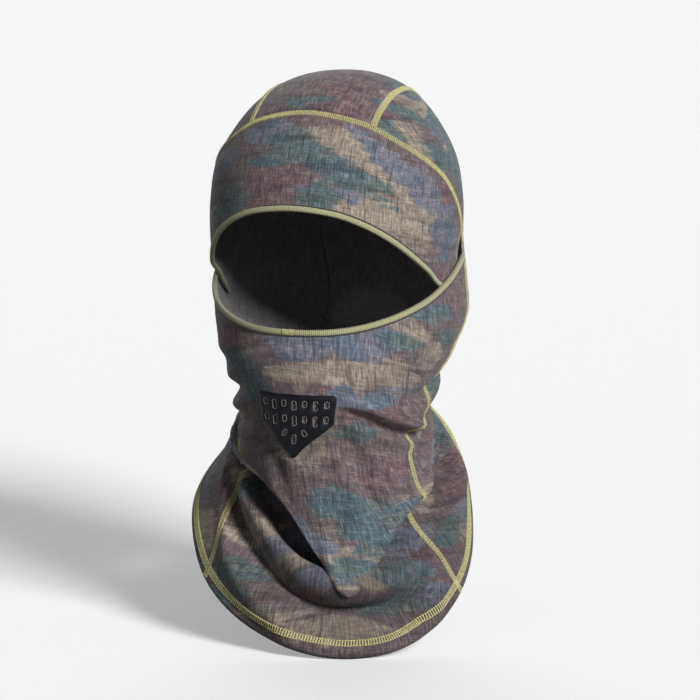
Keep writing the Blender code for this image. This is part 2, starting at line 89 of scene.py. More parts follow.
HEM_STITCHING = 1.15  # width of the coverstitch, in seam widths

# ---- head form, as in the CAD model
CROWN_Z, CROWN_Y, BROW_Y = 0.1095, 0.017, 0.004
HALF_WIDTH, FRONT, BACK = 0.0775, 0.1025, 0.103
DOME_POWER, DOME_RINGS = 2.4, 7
MIDDLE_POWER = 1.5  # how its middle moves back towards the crown
CROWN_SHIFT, SHIFT_HEIGHT = -0.002, 0.06  # the head leans a little to the wearer's right
TEMPLE_WIDER, TEMPLE_HEIGHT, TEMPLE_SPREAD = 0.045, 0.46, 0.22
CROWN_STRIP, NAPE_STRIP = 0.042, 0.034  # half widths of the centre strip
NARROW_FROM, NARROW_RUN = 0.10, 0.16  # drop where it narrows, and over how much
STRIP_TURN_FROM, STRIP_TURN = 0.08, 0.10  # and where its rows turn to follow the rings

# ---- rings below the dome: height in front, at the left, at the right and at the back, half
# width, front reach, back reach and shift to the left in mm, and the turn in degrees
RINGS = (
    (-22, -22, -22, -22, 78, 102.5, 101.5, 3.5, 0),
    (-44, -43, -43, -42, 77.7, 104, 96.5, 5.5, 0),
    (-62, -60, -60, -56, 72.5, 109.5, 90, 5.5, 1),
    (-80, -78, -78, -66, 64, 108.5, 83, 5, 3),
    (-98, -94, -94, -73, 60.5, 105, 79, 3.5, 5),
    (-122, -111, -111, -79, 59, 96, 76, 1, 7),
    (-142, -120, -115, -83, 63, 94.5, 76.5, 0, 12),
    (-138, -126, -116.5, -86, 68, 90, 78.5, 0, 17),
    (-128, -112, -121, -88, 46, 59, 80, 0, 17),
    (-165, -137, -127, -92, 64, 74.5, 83, -3, 17),
    (-207, -160, -156, -98, 80, 101, 87, -1, 17),
    (-242.5, -175.5, -171.5, -104.5, 90, 105, 90.5, -2, 17),
)
# the fold that hangs from the jaw to a point on the chest, by ring: its depth and outward
# reach in mm, and its spread in degrees
FOLD = {6: (22, 0, 33), 7: (64, 10, 28), 8: (47, 0, 31), 9: (30, 0, 31)}
FOLD_TIP = 5.5  # degrees from the bib's middle
FOLD_RIGHT_SHARE = 1.28  # how much wider its straight right flank is
FOLD_POWER, FOLD_ROUND, FOLD_RUNOUT = 1.4, 4.0, 0.08
# its first and last rings, counted from the crown: they double over where the share is 1, and
# lie straight where it is 0
FOLD_FIRST, FOLD_LAST = DOME_RINGS + 7, DOME_RINGS + 10
FOLD_ANGLES = (-180, -96, -78, 60, 84, 180)
FOLD_SHARES = (0, 0, 1, 1, 0, 0)
ROLL_ANGLE, ROLL_SPREAD, ROLL_DEPTH = 64.0, 17.0, 0.008  # the roll at the left jaw
ROLL_SHARES = (0, 0, 0, 0, 0, 0.2, 0.8, 1, 0.6, 0.3, 0, 0)  # of its depth, by ring
HEM_CORNER = 0.035  # how much squarer than an ellipse the hem is
HEM_TWIST_FRONT, HEM_TWIST_BACK = 0.003, 0.012
HEM_SHARES = (0,) * 9 + (0.3, 0.7, 1)  # of its shape, by ring

# ---- seams and edges as (angle, drop), the first three from the middle out
BROW_SEAM = ((0, .0645), (20, .0677), (40, .0761), (57, .0905), (71, .1045), (82, .118),
             (92, .1345), (99, .149), (102.5, .161))
EYE_EDGE = ((0, .130), (20, .1335), (33, .1405), (46, .151), (58, .1635), (68, .1755),
            (78, .186), (90, .198))
MASK_EDGE = ((0, .2023), (16, .2019), (28, .2003), (41, .197), (54, .1923), (65, .1875),
             (73, .183), (82, .178), (92, .1725), (102.5, .1685))
LEFT_SEAM = ((102.5, .161), (102.5, .1685), (100, .205), (93, .2315), (84, .251), (78, .2635),
             (70, .270), (65, .276), (63, .287), (57, .299), (48, .310), (47, .330), (50, .353),
             (55, .3755), (61, .400))
RIGHT_SEAM = ((102.5, .161), (102.5, .1685), (100, .205), (95, .2315), (86, .256), (76, .272),
              (64, .286), (55, .299), (55, .325), (61, .346), (64.5, .3635), (63.5, .375),
              (62, .389), (61, .400))
DEGREE = 0.0014  # rough length of a degree, to space a curve's points
TUCK_DEPTH, TUCK_RUN = 0.0030, 0.016  # of the brow cloth behind the mask's edge

# ---- creases: a line of (angle, drop), its depth (negative stands out), its width and, for
# one, the height of the lip above it
CREASE_ENDS, CREASE_FADE = 0.02, 0.7  # how it runs out towards its ends
CREASE_BANKS = 0.45  # share of its depth that stands up beside it
LIP_PLACE, LIP_WIDTH = 1.7, 1.5  # in widths of the crease
CREASES = (
    # the roll above the hem
    (((-67, .362), (-54, .3685), (-42, .3725), (-26, .377), (-18, .3815), (-8, .384), (7, .384),
      (23, .384), (38, .390)), 0.0190, 0.0075),
    (((-66, .336), (-50, .346), (-41, .3505), (-31, .354), (-21, .3575), (-8, .361)), 0.0090, 0.0075),
    (((-14, .386), (12, .3845), (28, .3865), (44, .391)), 0.0140, 0.0060),
    # under the jaw, towards the left ear
    (((20, .2515), (26, .2525), (36, .256), (50, .263), (70, .271), (90, .279), (104, .284)),
     0.0055, 0.0031, 0.0030),
    (((58, .250), (76, .250), (96, .2465), (112, .245), (126, .244)), 0.0056, 0.0042),
    (((62, .2385), (78, .2395), (96, .238), (112, .236)), 0.0018, 0.0034),
    # under the jaw, towards the right ear
    (((-40, .243), (-56, .246), (-74, .249), (-96, .251)), 0.0036, 0.0036),
    (((-36, .2575), (-54, .262), (-74, .265), (-98, .268)), 0.0040, 0.0036),
    (((-50, .228), (-70, .231), (-92, .230)), 0.0016, 0.0036),
    (((-72, .274), (-88, .282), (-104, .290), (-122, .297)), 0.0048, 0.0052),
    # drag folds of the throat
    (((22, .262), (27, .276), (31, .290), (33, .304)), 0.0030, 0.0060),
    (((-2, .292), (0, .300), (2, .310)), -0.0020, 0.0060),
    (((-30, .262), (-24, .276), (-17, .292)), 0.0018, 0.0060),
    # the brow, where the edge pulls
    (((40, .128), (58, .122), (74, .126)), 0.0009, 0.0050),
    (((-10, .108), (12, .110), (34, .116)), 0.0006, 0.0040),
    # the bib's sides
    (((60, .318), (68, .335), (70, .352)), 0.0030, 0.0060),
    (((-72, .330), (-64, .348), (-60, .366)), 0.0028, 0.0070),
    (((122, .374), (108, .3695), (90, .3585), (72, .346)), 0.0075, 0.0060),
    (((116, .388), (98, .381), (82, .372)), -0.0035, 0.0070),
    (((-118, .300), (-132, .320), (-140, .345)), 0.0030, 0.0070),
)

# ---- the print: blotches as (angle, drop, half length, half height, tilt), by colour, in
# degrees and millimetres
BLOTCHES = {
    "tan": (
        (24, 86, 30, 14, 10), (36, 98, 28, 10, 30), (52, 116, 30, 11, 35), (41, 133, 40, 21, 5),
        (60, 140, 22, 20, 0), (76, 59, 18, 7, 25), (68, 90, 24, 12, 40), (54, 206, 24, 10, 15),
        (2, 229, 34, 7, 0), (25, 229, 38, 10, 0), (49, 233, 30, 11, 0), (70, 226, 15, 12, 0),
        (4, 262, 24, 12, 0), (-50, 140, 18, 8, 0), (6, 299, 28, 13, -15), (-32, 360.5, 26, 9, 10),
        (-3, 272, 24, 13, 0), (-50, 371, 22, 8, 15), (-26, 371, 22, 6, 10), (-24, 390.5, 30, 6, 5),
        (0, 392, 55, 8, 0), (39, 303.5, 22, 8, -20), (-75, 387.5, 22, 12, 30), (-62, 352, 18, 7, 20),
        (20, 372, 30, 6, -10), (60, 350, 22, 12, -20), (80, 387, 24, 10, -20),
    ),
    "teal": (
        (0, 88, 24, 12, 10), (20, 102.5, 42, 11, 20), (37, 114, 22, 6, 12), (14, 120.5, 18, 9, -5),
        (-12, 99.5, 22, 6, 0), (-37, 132.5, 26, 16, -10), (2, 51.5, 18, 6, -5), (-11, 56, 12, 6, 0),
        (68, 68, 24, 6, 20), (52, 78.5, 14, 8, 40), (84, 104, 24, 12, 30), (66, 198.5, 28, 7, -5),
        (50, 212, 22, 6, 0), (-44, 227, 18, 12, 0), (-29, 237.5, 18, 18, 0), (30, 263, 20, 8, -10),
        (-86, 205, 20, 10, 0), (80, 216, 18, 6, 10), (-50, 353, 24, 10, 10), (12, 287, 36, 12, -5),
        (25, 296, 26, 9, -10), (27, 306.5, 24, 6, -15), (35, 374, 28, 10, -15), (-46, 384.5, 26, 9, 10),
        (26, 386, 38, 7, -8), (-50, 398, 32, 6, 5), (40, 345, 30, 10, -20), (68, 376, 22, 9, -30),
        (8, 352, 24, 8, 0),
    ),
    "blue": (
        (49, 102.5, 36, 10, 35), (66, 123.5, 24, 13, 40), (-19, 80, 26, 10, 0), (80, 150, 20, 18, 20),
        (98, 85, 26, 12, 10), (2, 209, 30, 12, 0), (28, 210.5, 30, 12, 0), (42, 211, 18, 8, 0),
        (45, 245.5, 30, 6, -20), (24, 242, 12, 9, 0), (-50, 105, 20, 12, 0), (28, 120, 10, 6, 0),
        (-62, 247, 16, 10, 0), (-27, 365, 28, 8, 10), (-6, 371, 28, 7, 5), (42, 386, 30, 7, -10),
        (20, 359, 28, 8, -10), (45, 360, 30, 8, -15), (-10, 345, 26, 10, 5), (90, 392, 28, 8, -10),
        (-66, 398, 26, 7, 10), (-18, 299, 14, 6, 0),
    ),
    "rose": (
        (-6, 112, 32, 8, 5), (-20, 125, 22, 10, 0), (6, 59, 45, 12, 0), (80, 135.5, 12, 30, 0),
        (-42, 213, 28, 12, 0), (50, 254, 30, 10, 10), (31, 255.5, 20, 7, 0), (-42, 266, 26, 20, 0),
        (15, 237.5, 12, 8, 0), (-14, 104, 18, 6, 0), (-70, 125, 18, 20, 0), (30, 40, 20, 12, 0),
        (72, 178, 14, 10, 0), (-9, 377, 26, 7, 5), (34, 380, 38, 9, -10), (49, 387.5, 24, 9, -10),
        (84, 369.5, 30, 13, 60), (45, 282.5, 28, 10, -20), (10, 377, 24, 6, 0), (51, 375.5, 24, 9, -15),
        (-40, 352, 22, 8, 10), (-70, 366, 22, 9, 20), (96, 350, 26, 13, 40),
    ),
}
UNSEEN_BLOTCHES, UNSEEN_SEED = 44, 11  # of each colour, scattered over the back
UNSEEN_ANGLES, UNSEEN_FROM_DROP = (96, 264), 30
UNSEEN_RANGES = ((14, 36), (5, 14), (-25, 25))  # of half length, half height and tilt
BLOTCH_POWERS = 1.35, 1.2  # how pointed their ends and sides are: 1 is a diamond
NO_BLOTCH = -0.5
HANG = 1.12  # length of the bib's cloth for its straight length
FOLD_SWAP = 0.030  # drop over which the print changes from one to the other
TABLE_STEP, TABLE_DROPS = 2.0, 260  # grid of the table of lengths: degrees, and number of drops
# painted shade: the bib's colour is darkened, from its middle round to its left, as if it lay in shade
PAINTED_SHADE_FROM, PAINTED_SHADE_RUN = 0.325, 0.030
PAINTED_SHADE_RIGHT, PAINTED_SHADE_LEFT, PAINTED_SHADE_RAMP = 55.0, 112.0, 34.0
PAINTED_SHADE_SHARE = 0.34  # of the colour that the darkest part loses

# ---- the mask turns about the temples
HOOD, MASK = "hood", "mask"


# ---- the shape of the cloth
def smoothstep(t):
    t = np.clip(t, 0, 1)
    return t * t * (3 - 2 * t)


def size(vectors):
    return np.linalg.norm(vectors, axis=-1)


def unit(vectors):
    return vectors / np.maximum(size(vectors), 1e-12)[..., None]


def half_turns(angle):
    """The same angles between -180 and 180 degrees."""
    return (np.asarray(angle) + 180) % 360 - 180


def all_rings():
    """Every ring of the form: its size and place, its fold, and its shares of hem and roll."""
    rows = []
    for i in range(1, DOME_RINGS + 1):
        tilt = pi / 2 * i / DOME_RINGS
        wide = sin(tilt) ** (2 / DOME_POWER)
        z = CROWN_Z * max(cos(tilt), 0.0) ** (2 / DOME_POWER)
        middle = BROW_Y + (CROWN_Y - BROW_Y) * (z / CROWN_Z) ** MIDDLE_POWER
        temple = 1 + TEMPLE_WIDER * np.exp(-((z / CROWN_Z - TEMPLE_HEIGHT) / TEMPLE_SPREAD) ** 2)
        shift = CROWN_SHIFT * smoothstep(z / SHIFT_HEIGHT)
        rows.append((z,) * 4 + (HALF_WIDTH * wide * temple, FRONT * wide - middle,
                                BACK * wide + middle, shift, 0, 0, 0, 1, 0, 0))
    for i, (*sizes, turn) in enumerate(RINGS):
        depth, reach, spread = FOLD.get(i, (0, 0, 1))
        rows.append(tuple(v * MM for v in sizes) + (turn, depth * MM, reach * MM, spread,
                                                    HEM_SHARES[i], ROLL_SHARES[i]))
    return rows


def ring_points(row, angle):
    """Points of one ring at these angles, in radians."""
    front_z, left_z, right_z, back_z, half, front, back, shift = row[:8]
    turn, depth, reach, spread, hem, roll = row[8:]
    s, c = np.sin(angle), np.cos(angle)
    z = (front_z + back_z + left_z + right_z) / 4 + (front_z - back_z) / 2 * c
    z = z + (left_z - right_z) / 2 * s
    z = z + (front_z + back_z - left_z - right_z) / 4 * np.cos(2 * angle)
    x, y = half * s, (back - front) / 2 - (front + back) / 2 * c
    if depth:
        away = half_turns(np.degrees(angle) - FOLD_TIP)
        far = np.sqrt(away * away + FOLD_ROUND ** 2)
        curved = np.exp(-(far / spread) ** FOLD_POWER + (FOLD_ROUND / spread) ** FOLD_POWER)
        straight = 1 - (far - FOLD_ROUND) / (spread * FOLD_RIGHT_SHARE)
        straight = straight + np.sqrt(straight ** 2 + FOLD_RUNOUT ** 2)
        straight = straight / (1 + sqrt(1 + FOLD_RUNOUT ** 2))
        fold = np.where(away > 0, curved, straight)
        out = 1 + reach * fold / np.hypot(x, y)
        x, y, z = x * out, y * out, z - depth * fold
    if roll:
        away = half_turns(np.degrees(angle) - ROLL_ANGLE)
        z = z - roll * ROLL_DEPTH * np.exp(-(away / ROLL_SPREAD) ** 2)
    if hem:
        ahead = smoothstep(c + 0.5)
        out = 1 + hem * HEM_CORNER * np.sin(2 * angle) ** 2 * ahead
        twist = HEM_TWIST_BACK + (HEM_TWIST_FRONT - HEM_TWIST_BACK) * ahead
        x, y, z = x * out, y * out, z - hem * twist * np.sin(2 * angle)
    t = radians(turn)
    return np.stack([x * cos(t) - y * sin(t) + shift, x * sin(t) + y * cos(t), z], -1)


FORM = all_rings()


def ring_drops():
    """Drop of the crown and of every ring: the mean length of form between them."""
    angle = np.linspace(0, 2 * pi, 64, endpoint=False)
    points = [np.tile([0.0, CROWN_Y, CROWN_Z], (64, 1))] + [ring_points(r, angle) for r in FORM]
    steps = [size(b - a).mean() for a, b in zip(points[:-1], points[1:])]
    return np.concatenate([[0.0], np.cumsum(steps)])


DROPS = ring_drops()
HEM = DROPS[-1]
ROUND = np.linspace(0, 2 * pi, 65)
RADII = np.array([0] + [size(np.diff(ring_points(r, ROUND), axis=0)).sum() / (2 * pi) for r in FORM])


def through(p, t, u):
    """The smooth curve through four points at the values t, read at u."""
    def between(a, b, ta, tb):
        w = ((u - ta) / (tb - ta))[:, None]
        return a * (1 - w) + b * w

    first = [between(p[j], p[j + 1], t[j], t[j + 1]) for j in range(3)]
    second = [between(first[j], first[j + 1], t[j], t[j + 2]) for j in range(2)]
    return between(second[0], second[1], t[1], t[2])


def smoothed(points, angle):
    """Rings of the fold drawn to a straight line where the cloth does not double over."""
    turned = half_turns(np.degrees(angle))
    share = 1 - smoothstep(np.interp(turned, FOLD_ANGLES, FOLD_SHARES))[:, None]
    first, last = FOLD_FIRST + 1, FOLD_LAST + 1
    for k in range(first + 1, last):
        t = (k - first) / (last - first)
        straight = points[first] * (1 - t) + points[last] * t
        points[k] += (straight - points[k]) * share
    return points


def form(angle, drop):
    """Places on the form, by a smooth curve down through the rings."""
    angle, drop = np.broadcast_arrays(np.radians(angle), np.asarray(drop, float))
    shape = angle.shape
    angle, drop = angle.ravel(), drop.ravel()
    crown = np.tile([0.0, CROWN_Y, CROWN_Z], (len(angle), 1))
    points = [ring_points(FORM[0], angle + pi), crown] + [ring_points(r, angle) for r in FORM]
    points = np.stack(points + [2 * points[-1] - points[-2]])
    points = smoothed(points, angle)
    knots = np.concatenate([[-DROPS[1]], DROPS, [2 * DROPS[-1] - DROPS[-2]]])
    i = np.clip(np.searchsorted(knots, drop, side="right") - 1, 1, len(knots) - 3)
    k = np.arange(len(drop))
    p = [points[i + j, k] for j in (-1, 0, 1, 2)]
    return through(p, [knots[i + j] for j in (-1, 0, 1, 2)], drop).reshape(shape + (3,))


def plan(angle, drop):
    """A place as seen on the cloth laid flat around the crown."""
    return drop * np.sin(np.radians(angle)), -drop * np.cos(np.radians(angle))


def unplan(p, q):
    return np.degrees(np.arctan2(p, -q)), np.hypot(p, q)


TABLE_ANGLES = np.arange(-180, 180 + TABLE_STEP, TABLE_STEP)


def length_table():
    """Real length of cloth from the crown down each meridian, on a grid of angles and drops."""
    points = form(TABLE_ANGLES[:, None], np.linspace(0, HEM, TABLE_DROPS)[None])
    steps = size(np.diff(points, axis=1))
    return np.pad(np.cumsum(steps, axis=1), ((0, 0), (1, 0)))


def print_table(lengths):
    """The lengths measured from the crown above the fold, and from the hem below it."""
    angles = np.radians(TABLE_ANGLES)
    neck, lip = DROPS[FOLD_FIRST - 1], DROPS[FOLD_FIRST + 1]
    above, hem = ring_points(FORM[FOLD_FIRST - 2], angles), ring_points(FORM[-1], angles)
    at = np.linspace(0, HEM, TABLE_DROPS)
    whole = lengths[:, -1]
    to_neck = np.array([np.interp(neck, at, row) for row in lengths])
    straight = to_neck + HANG * size(hem - above)
    from_hem = (np.minimum(whole, straight) - whole)[:, None] + lengths
    share = smoothstep((at - lip) / FOLD_SWAP)[None]
    return lengths * (1 - share) + from_hem * share


LENGTHS = print_table(length_table())


def length_down(angle, drop):
    """Length of cloth from the crown to a place."""
    angle, drop = np.broadcast_arrays(angle, drop)
    a = (half_turns(angle) + 180) / TABLE_STEP
    d = np.clip(drop / HEM, 0, 1) * (TABLE_DROPS - 1)
    i = np.clip(a.astype(int), 0, len(TABLE_ANGLES) - 2)
    j = np.clip(d.astype(int), 0, TABLE_DROPS - 2)
    a, d = a - i, d - j
    return (LENGTHS[i, j] * (1 - a) * (1 - d) + LENGTHS[i + 1, j] * a * (1 - d)
            + LENGTHS[i, j + 1] * (1 - a) * d + LENGTHS[i + 1, j + 1] * a * d)


def normals_of(surface, angle, drop, step=0.0012):
    """Outward normals of a surface given as a function of angle and drop."""
    p, q = plan(angle, drop)
    across = surface(*unplan(p + step, q)) - surface(*unplan(p - step, q))
    down = surface(*unplan(p, q + step)) - surface(*unplan(p, q - step))
    return unit(np.cross(across, down))


def relief(angle, drop):
    """How far the creases move the cloth outwards."""
    out = np.zeros(np.broadcast(angle, drop).shape)
    radius = np.interp(drop, DROPS, RADII)
    x, y = np.radians(half_turns(angle)) * radius, np.asarray(drop, float)
    for line, depth, width, *lip in CREASES:
        pts = np.array(line, float)
        px = np.radians(pts[:, 0]) * np.interp(pts[:, 1], DROPS, RADII)
        py = pts[:, 1]
        best, share, side = np.full(out.shape, 1e9), np.zeros(out.shape), np.zeros(out.shape)
        n = len(pts) - 1
        for k in range(n):
            dx, dy = px[k + 1] - px[k], py[k + 1] - py[k]
            t = np.clip(((x - px[k]) * dx + (y - py[k]) * dy) / (dx * dx + dy * dy), 0, 1)
            ox, oy = x - px[k] - t * dx, y - py[k] - t * dy
            d = np.hypot(ox, oy)
            near = d < best
            share = np.where(near, (k + t) / n, share)
            side = np.where(near, np.sign(oy * dx - ox * dy), side)
            best = np.minimum(best, d)
        fade = np.sin(np.clip(share, CREASE_ENDS, 1 - CREASE_ENDS) * pi) ** CREASE_FADE
        banks = CREASE_BANKS * np.exp(-((best - 2 * width) / width) ** 2)
        out -= depth * fade * (np.exp(-(best / width) ** 2) - banks)
        if lip:
            above = (-side * best - LIP_PLACE * width) / (LIP_WIDTH * width)
            out += lip[0] * fade * np.exp(-above ** 2)
    return out


def cloth(angle, drop):
    """Places on the creased cloth."""
    return form(angle, drop) + normals_of(form, angle, drop) * relief(angle, drop)[..., None]


def all_blotches():
    """The blotches of the front, with a scatter of others over the back."""
    chance = np.random.default_rng(UNSEEN_SEED)
    ranges = (UNSEEN_ANGLES, (UNSEEN_FROM_DROP, HEM / MM), *UNSEEN_RANGES)
    found = {}
    for colour, front in BLOTCHES.items():
        back = [tuple(chance.uniform(*ends) for ends in ranges) for _ in range(UNSEEN_BLOTCHES)]
        found[colour] = np.array(list(front) + back) * (1, MM, MM, MM, 1)
    return found


ALL_BLOTCHES = all_blotches()


def tone(colour, angle, drop):
    """How far inside a blotch of this colour a place is: 1 in its middle, 0 on its edge."""
    length = length_down(angle, drop)
    best = np.full(length.shape, NO_BLOTCH)
    for at, down, reach, height, tilt in ALL_BLOTCHES[colour]:
        x = np.radians(half_turns(angle - at)) * np.interp(down, DROPS, RADII)
        y = length - length_down(at, down)
        t = radians(tilt)
        u, v = x * cos(t) + y * sin(t), y * cos(t) - x * sin(t)
        along, across = np.abs(u / reach) ** BLOTCH_POWERS[0], np.abs(v / height) ** BLOTCH_POWERS[1]
        best = np.maximum(best, 1 - (along + across))
    return best


def smooth_curve(points, count=1200):
    """A dense smooth curve through places given as (angle, drop)."""
    pts = np.array(points, float)
    pts = np.vstack([2 * pts[0] - pts[1], pts, 2 * pts[-1] - pts[-2]])
    length = np.hypot((pts[1:, 0] - pts[:-1, 0]) * DEGREE, pts[1:, 1] - pts[:-1, 1])
    knots = np.concatenate([[0], np.cumsum(np.sqrt(length))])
    u = np.linspace(knots[1], knots[-2], count)
    i = np.clip(np.searchsorted(knots, u, side="right") - 1, 1, len(knots) - 3)
    return through([pts[i + j] for j in (-1, 0, 1, 2)], [knots[i + j] for j in (-1, 0, 1, 2)], u)


def mirrored(points):
    """Half a line, from the middle out, made whole."""
    return [(-a, d) for a, d in points[:0:-1]] + list(points)


def run_along(points):
    """Distance along a line of points."""
    return np.concatenate([[0], np.cumsum(size(np.diff(points, axis=0)))])


def spaced(curve, run, count):
    """Even places along a curve whose points lie at the distances run."""
    at = np.linspace(0, run[-1], count + 1)
    return np.stack([np.interp(at, run, curve[:, k]) for k in (0, 1)], -1)


def divide(curve, count=None):
    """Even places along a dense curve, about one cell apart."""
    run = run_along(form(*curve.T))
    return spaced(curve, run, count or int(round(run[-1] / CELL)))


BROW_LINE = smooth_curve(mirrored(BROW_SEAM))
MASK_LINE = smooth_curve(mirrored(MASK_EDGE))
EYE_LINE = smooth_curve(mirrored(EYE_EDGE))
SIDE_LINES = {sign: smooth_curve(seam[:-1] + ((seam[-1][0], HEM),))
              for sign, seam in ((1, LEFT_SEAM), (-1, RIGHT_SEAM))}


def strip_width(s):
    """Half width of the centre strip at a distance down it."""
    narrow = smoothstep((s - NARROW_FROM) / NARROW_RUN)
    strip = CROWN_STRIP + (NAPE_STRIP - CROWN_STRIP) * narrow
    drops = np.linspace(0.008, HEM, 300)
    half = size(form(90, drops) - form(-90, drops)) / 2
    return strip * np.interp(np.abs(s), drops, drops / half)


def strip_place(t, across):
    """A place on the centre strip: t from brow seam to hem, across from -1 to 1."""
    front = np.abs(BROW_LINE[:, 0]) < 60    # degrees, well past the strip
    brow_p, brow_q = plan(BROW_LINE[front, 0], BROW_LINE[front, 1])
    start = np.full(np.shape(across), -BROW_SEAM[0][1])
    for _ in range(8):                      # until the width there has settled
        start = np.interp(across * strip_width(start), brow_p, brow_q)
    s = start + t * (HEM - start)
    p = across * strip_width(s)
    ring = smoothstep((s - STRIP_TURN_FROM) / STRIP_TURN)
    q = (1 - ring) * s + ring * np.sqrt(np.maximum(s * s - p * p, 0))
    return unplan(p, q)


STRIP_T = np.linspace(0, 1, 1500)
STRIP_LINE = np.stack(strip_place(STRIP_T, np.ones_like(STRIP_T)), -1)
CORNER = STRIP_LINE[0, 0]


def coons(top, bottom, left, right):
    """A grid of places between four edges."""
    n, m = len(left), len(top)
    u, v = np.linspace(0, 1, m)[None, :, None], np.linspace(0, 1, n)[:, None, None]
    ruled = (1 - v) * top[None] + v * bottom[None] + (1 - u) * left[:, None] + u * right[:, None]
    corners = (1 - v) * ((1 - u) * top[0] + u * top[-1]) + v * ((1 - u) * bottom[0] + u * bottom[-1])
    return ruled - corners


def tuck(places):
    """Depth of the brow panel behind the mask's edge."""
    mask = np.interp(places[..., 0], MASK_LINE[:, 0], MASK_LINE[:, 1])
    return TUCK_DEPTH * smoothstep((places[..., 1] - mask) / TUCK_RUN + 1)


# ---- meshes
def add(name, data):
    obj = bpy.data.objects.new(name, data)
    bpy.context.collection.objects.link(obj)
    return obj


def new_object(name, points, faces, materials, smooth=True):
    data = bpy.data.meshes.new(name)
    data.from_pydata(np.asarray(points).tolist(), [], faces)
    for m in materials:
        data.materials.append(m)
    data.update()
    if smooth:
        data.shade_smooth()
    return add(name, data)


def paint(obj, name, values):
    """Give each point a number or a vector for the material to read."""
    key = "vector" if np.ndim(values) > 1 else "value"
    layer = obj.data.attributes.new(name, "FLOAT_VECTOR" if key == "vector" else "FLOAT", "POINT")
    layer.data.foreach_set(key, np.ravel(values))


def outward_faces(obj):
    """Turn a closed mesh's faces outwards."""
    mesh = bmesh.new()
    mesh.from_mesh(obj.data)
    bmesh.ops.recalc_face_normals(mesh, faces=mesh.faces)
    if mesh.calc_volume(signed=True) < 0:
        bmesh.ops.reverse_faces(mesh, faces=mesh.faces)
    mesh.to_mesh(obj.data)
    mesh.free()


def painted_bib_shade(angle, drop):
    """How much painted shade darkens the colour: the bib is darker from its middle to its left."""
    across = smoothstep((angle + PAINTED_SHADE_RIGHT) / PAINTED_SHADE_RAMP) * smoothstep((PAINTED_SHADE_LEFT - angle) / PAINTED_SHADE_RAMP)
    return smoothstep((drop - PAINTED_SHADE_FROM) / PAINTED_SHADE_RUN) * across


def panel(name, grid, grain, seed, sink=None):
    """A panel of cloth: its outer face, its inner face and the cut edge around it."""
    angle, drop = grid[..., 0], grid[..., 1]
    point, normal = cloth(angle, drop), normals_of(cloth, angle, drop)
    if sink is not None:
        point = point - normal * sink(grid)[..., None]
    n, m = grid.shape[:2]
    index = np.arange(n * m).reshape(n, m)
    k = n * m
    outside, inside = point.reshape(-1, 3), (point - normal * CLOTH).reshape(-1, 3)
    a, b, c, d = index[:-1, :-1], index[1:, :-1], index[1:, 1:], index[:-1, 1:]
    quads = np.stack([a, b, c, d], -1).reshape(-1, 4)
    rim = np.concatenate([index[:, 0], index[-1, 1:], index[-2::-1, -1], index[0, -2:0:-1]])
    after = np.roll(rim, -1)
    walls = np.stack([after, rim, rim + k, after + k], -1)
    faces = np.vstack([quads, quads[:, ::-1] + k, walls])
    obj = new_object(name, np.vstack([outside, inside]), faces.tolist(), [CLOTH_OUT, CLOTH_IN])
    back = np.zeros(len(faces), int)
    back[len(quads):] = 1
    obj.data.polygons.foreach_set("material_index", back)
    place = np.zeros((2 * k, 3))
    place[:k, :2] = grain.reshape(-1, 2)
    place[k:] = place[:k]
    place[:, 2] = seed
    paint(obj, "print", place)
    tones = np.stack([tone(c, angle, drop).ravel() for c in ("tan", "teal", "blue")], -1)
    paint(obj, "tones", np.vstack([tones, tones]))
    paint(obj, "rose", np.tile(tone("rose", angle, drop).ravel(), 2))
    # painted shade for the bib, read by the outside material
    paint(obj, "painted_bib_shade", np.tile(painted_bib_shade(angle, drop).ravel(), 2))
    outward_faces(obj)
    return obj


def grain_of(grid, middle=0.0):
    """Print coordinates along the rings and down the cloth."""
    radius = np.interp(grid[..., 1], DROPS, RADII)
    length = length_down(grid[..., 0], grid[..., 1])
    return np.stack([np.radians(grid[..., 0] - middle) * radius, length], -1)


class Line:
    """Evenly spaced places along a seam or an edge, on the creased cloth."""

    def __init__(self, curve, step, closed=False, sink=None):
        run = run_along(cloth(*curve.T))
        self.places = spaced(curve, run, int(round(run[-1] / step)))
        self.length = run[-1]
        angle, drop = self.places.T
        self.point, self.normal = cloth(angle, drop), normals_of(cloth, angle, drop)
        if sink is not None:
            self.point = self.point - self.normal * sink(self.places)[:, None]
        along = np.gradient(self.point, axis=0)
        if closed:
            ends = self.point[1] - self.point[-2]
            along[0] = along[-1] = ends
        self.square = unit(np.cross(self.normal, unit(along)))

    def at(self, s, side, height):
        """Points at distances s along the line, moved to its side and off the cloth."""
        n = len(self.point) - 1
        f = np.clip(np.asarray(s) / self.length * n, 0, n)
        i = np.minimum(f.astype(int), n - 1)
        w = (f - i)[:, None]
        point, square, normal = (a[i] * (1 - w) + a[i + 1] * w
                                 for a in (self.point, self.square, self.normal))
        side, height = (np.broadcast_to(v, np.shape(s))[:, None] for v in (side, height))
        return point + square * side + normal * height, normal


def sleeve_faces(n, m, closed=False):
    """Faces of n rings of m points, with both ends capped unless they meet."""
    i, j = np.meshgrid(np.arange(n if closed else n - 1), np.arange(m), indexing="ij")
    k, l = (i + 1) % n, (j + 1) % m
    faces = np.stack([i * m + j, i * m + l, k * m + l, k * m + j], -1).reshape(-1, 4).tolist()
    caps = [] if closed else [list(range(m))[::-1], list(range((n - 1) * m, n * m))]
    return faces + caps


def tube(points, normal, radius, sides=6, closed=False):
    """Vertices and faces of a round thread along points."""
    n = len(points)
    along = np.gradient(points, axis=0)
    if closed:
        along = np.roll(points, -1, 0) - np.roll(points, 1, 0)
    side = unit(np.cross(unit(along), normal))
    up = np.cross(side, unit(along))
    turn = np.linspace(0, 2 * pi, sides, endpoint=False)
    ring = side[:, None] * np.cos(turn)[None, :, None] + up[:, None] * np.sin(turn)[None, :, None]
    radius = np.broadcast_to(radius, (n,))
    verts = (points[:, None] + ring * radius[:, None, None]).reshape(-1, 3)
    return verts, sleeve_faces(n, sides, closed)


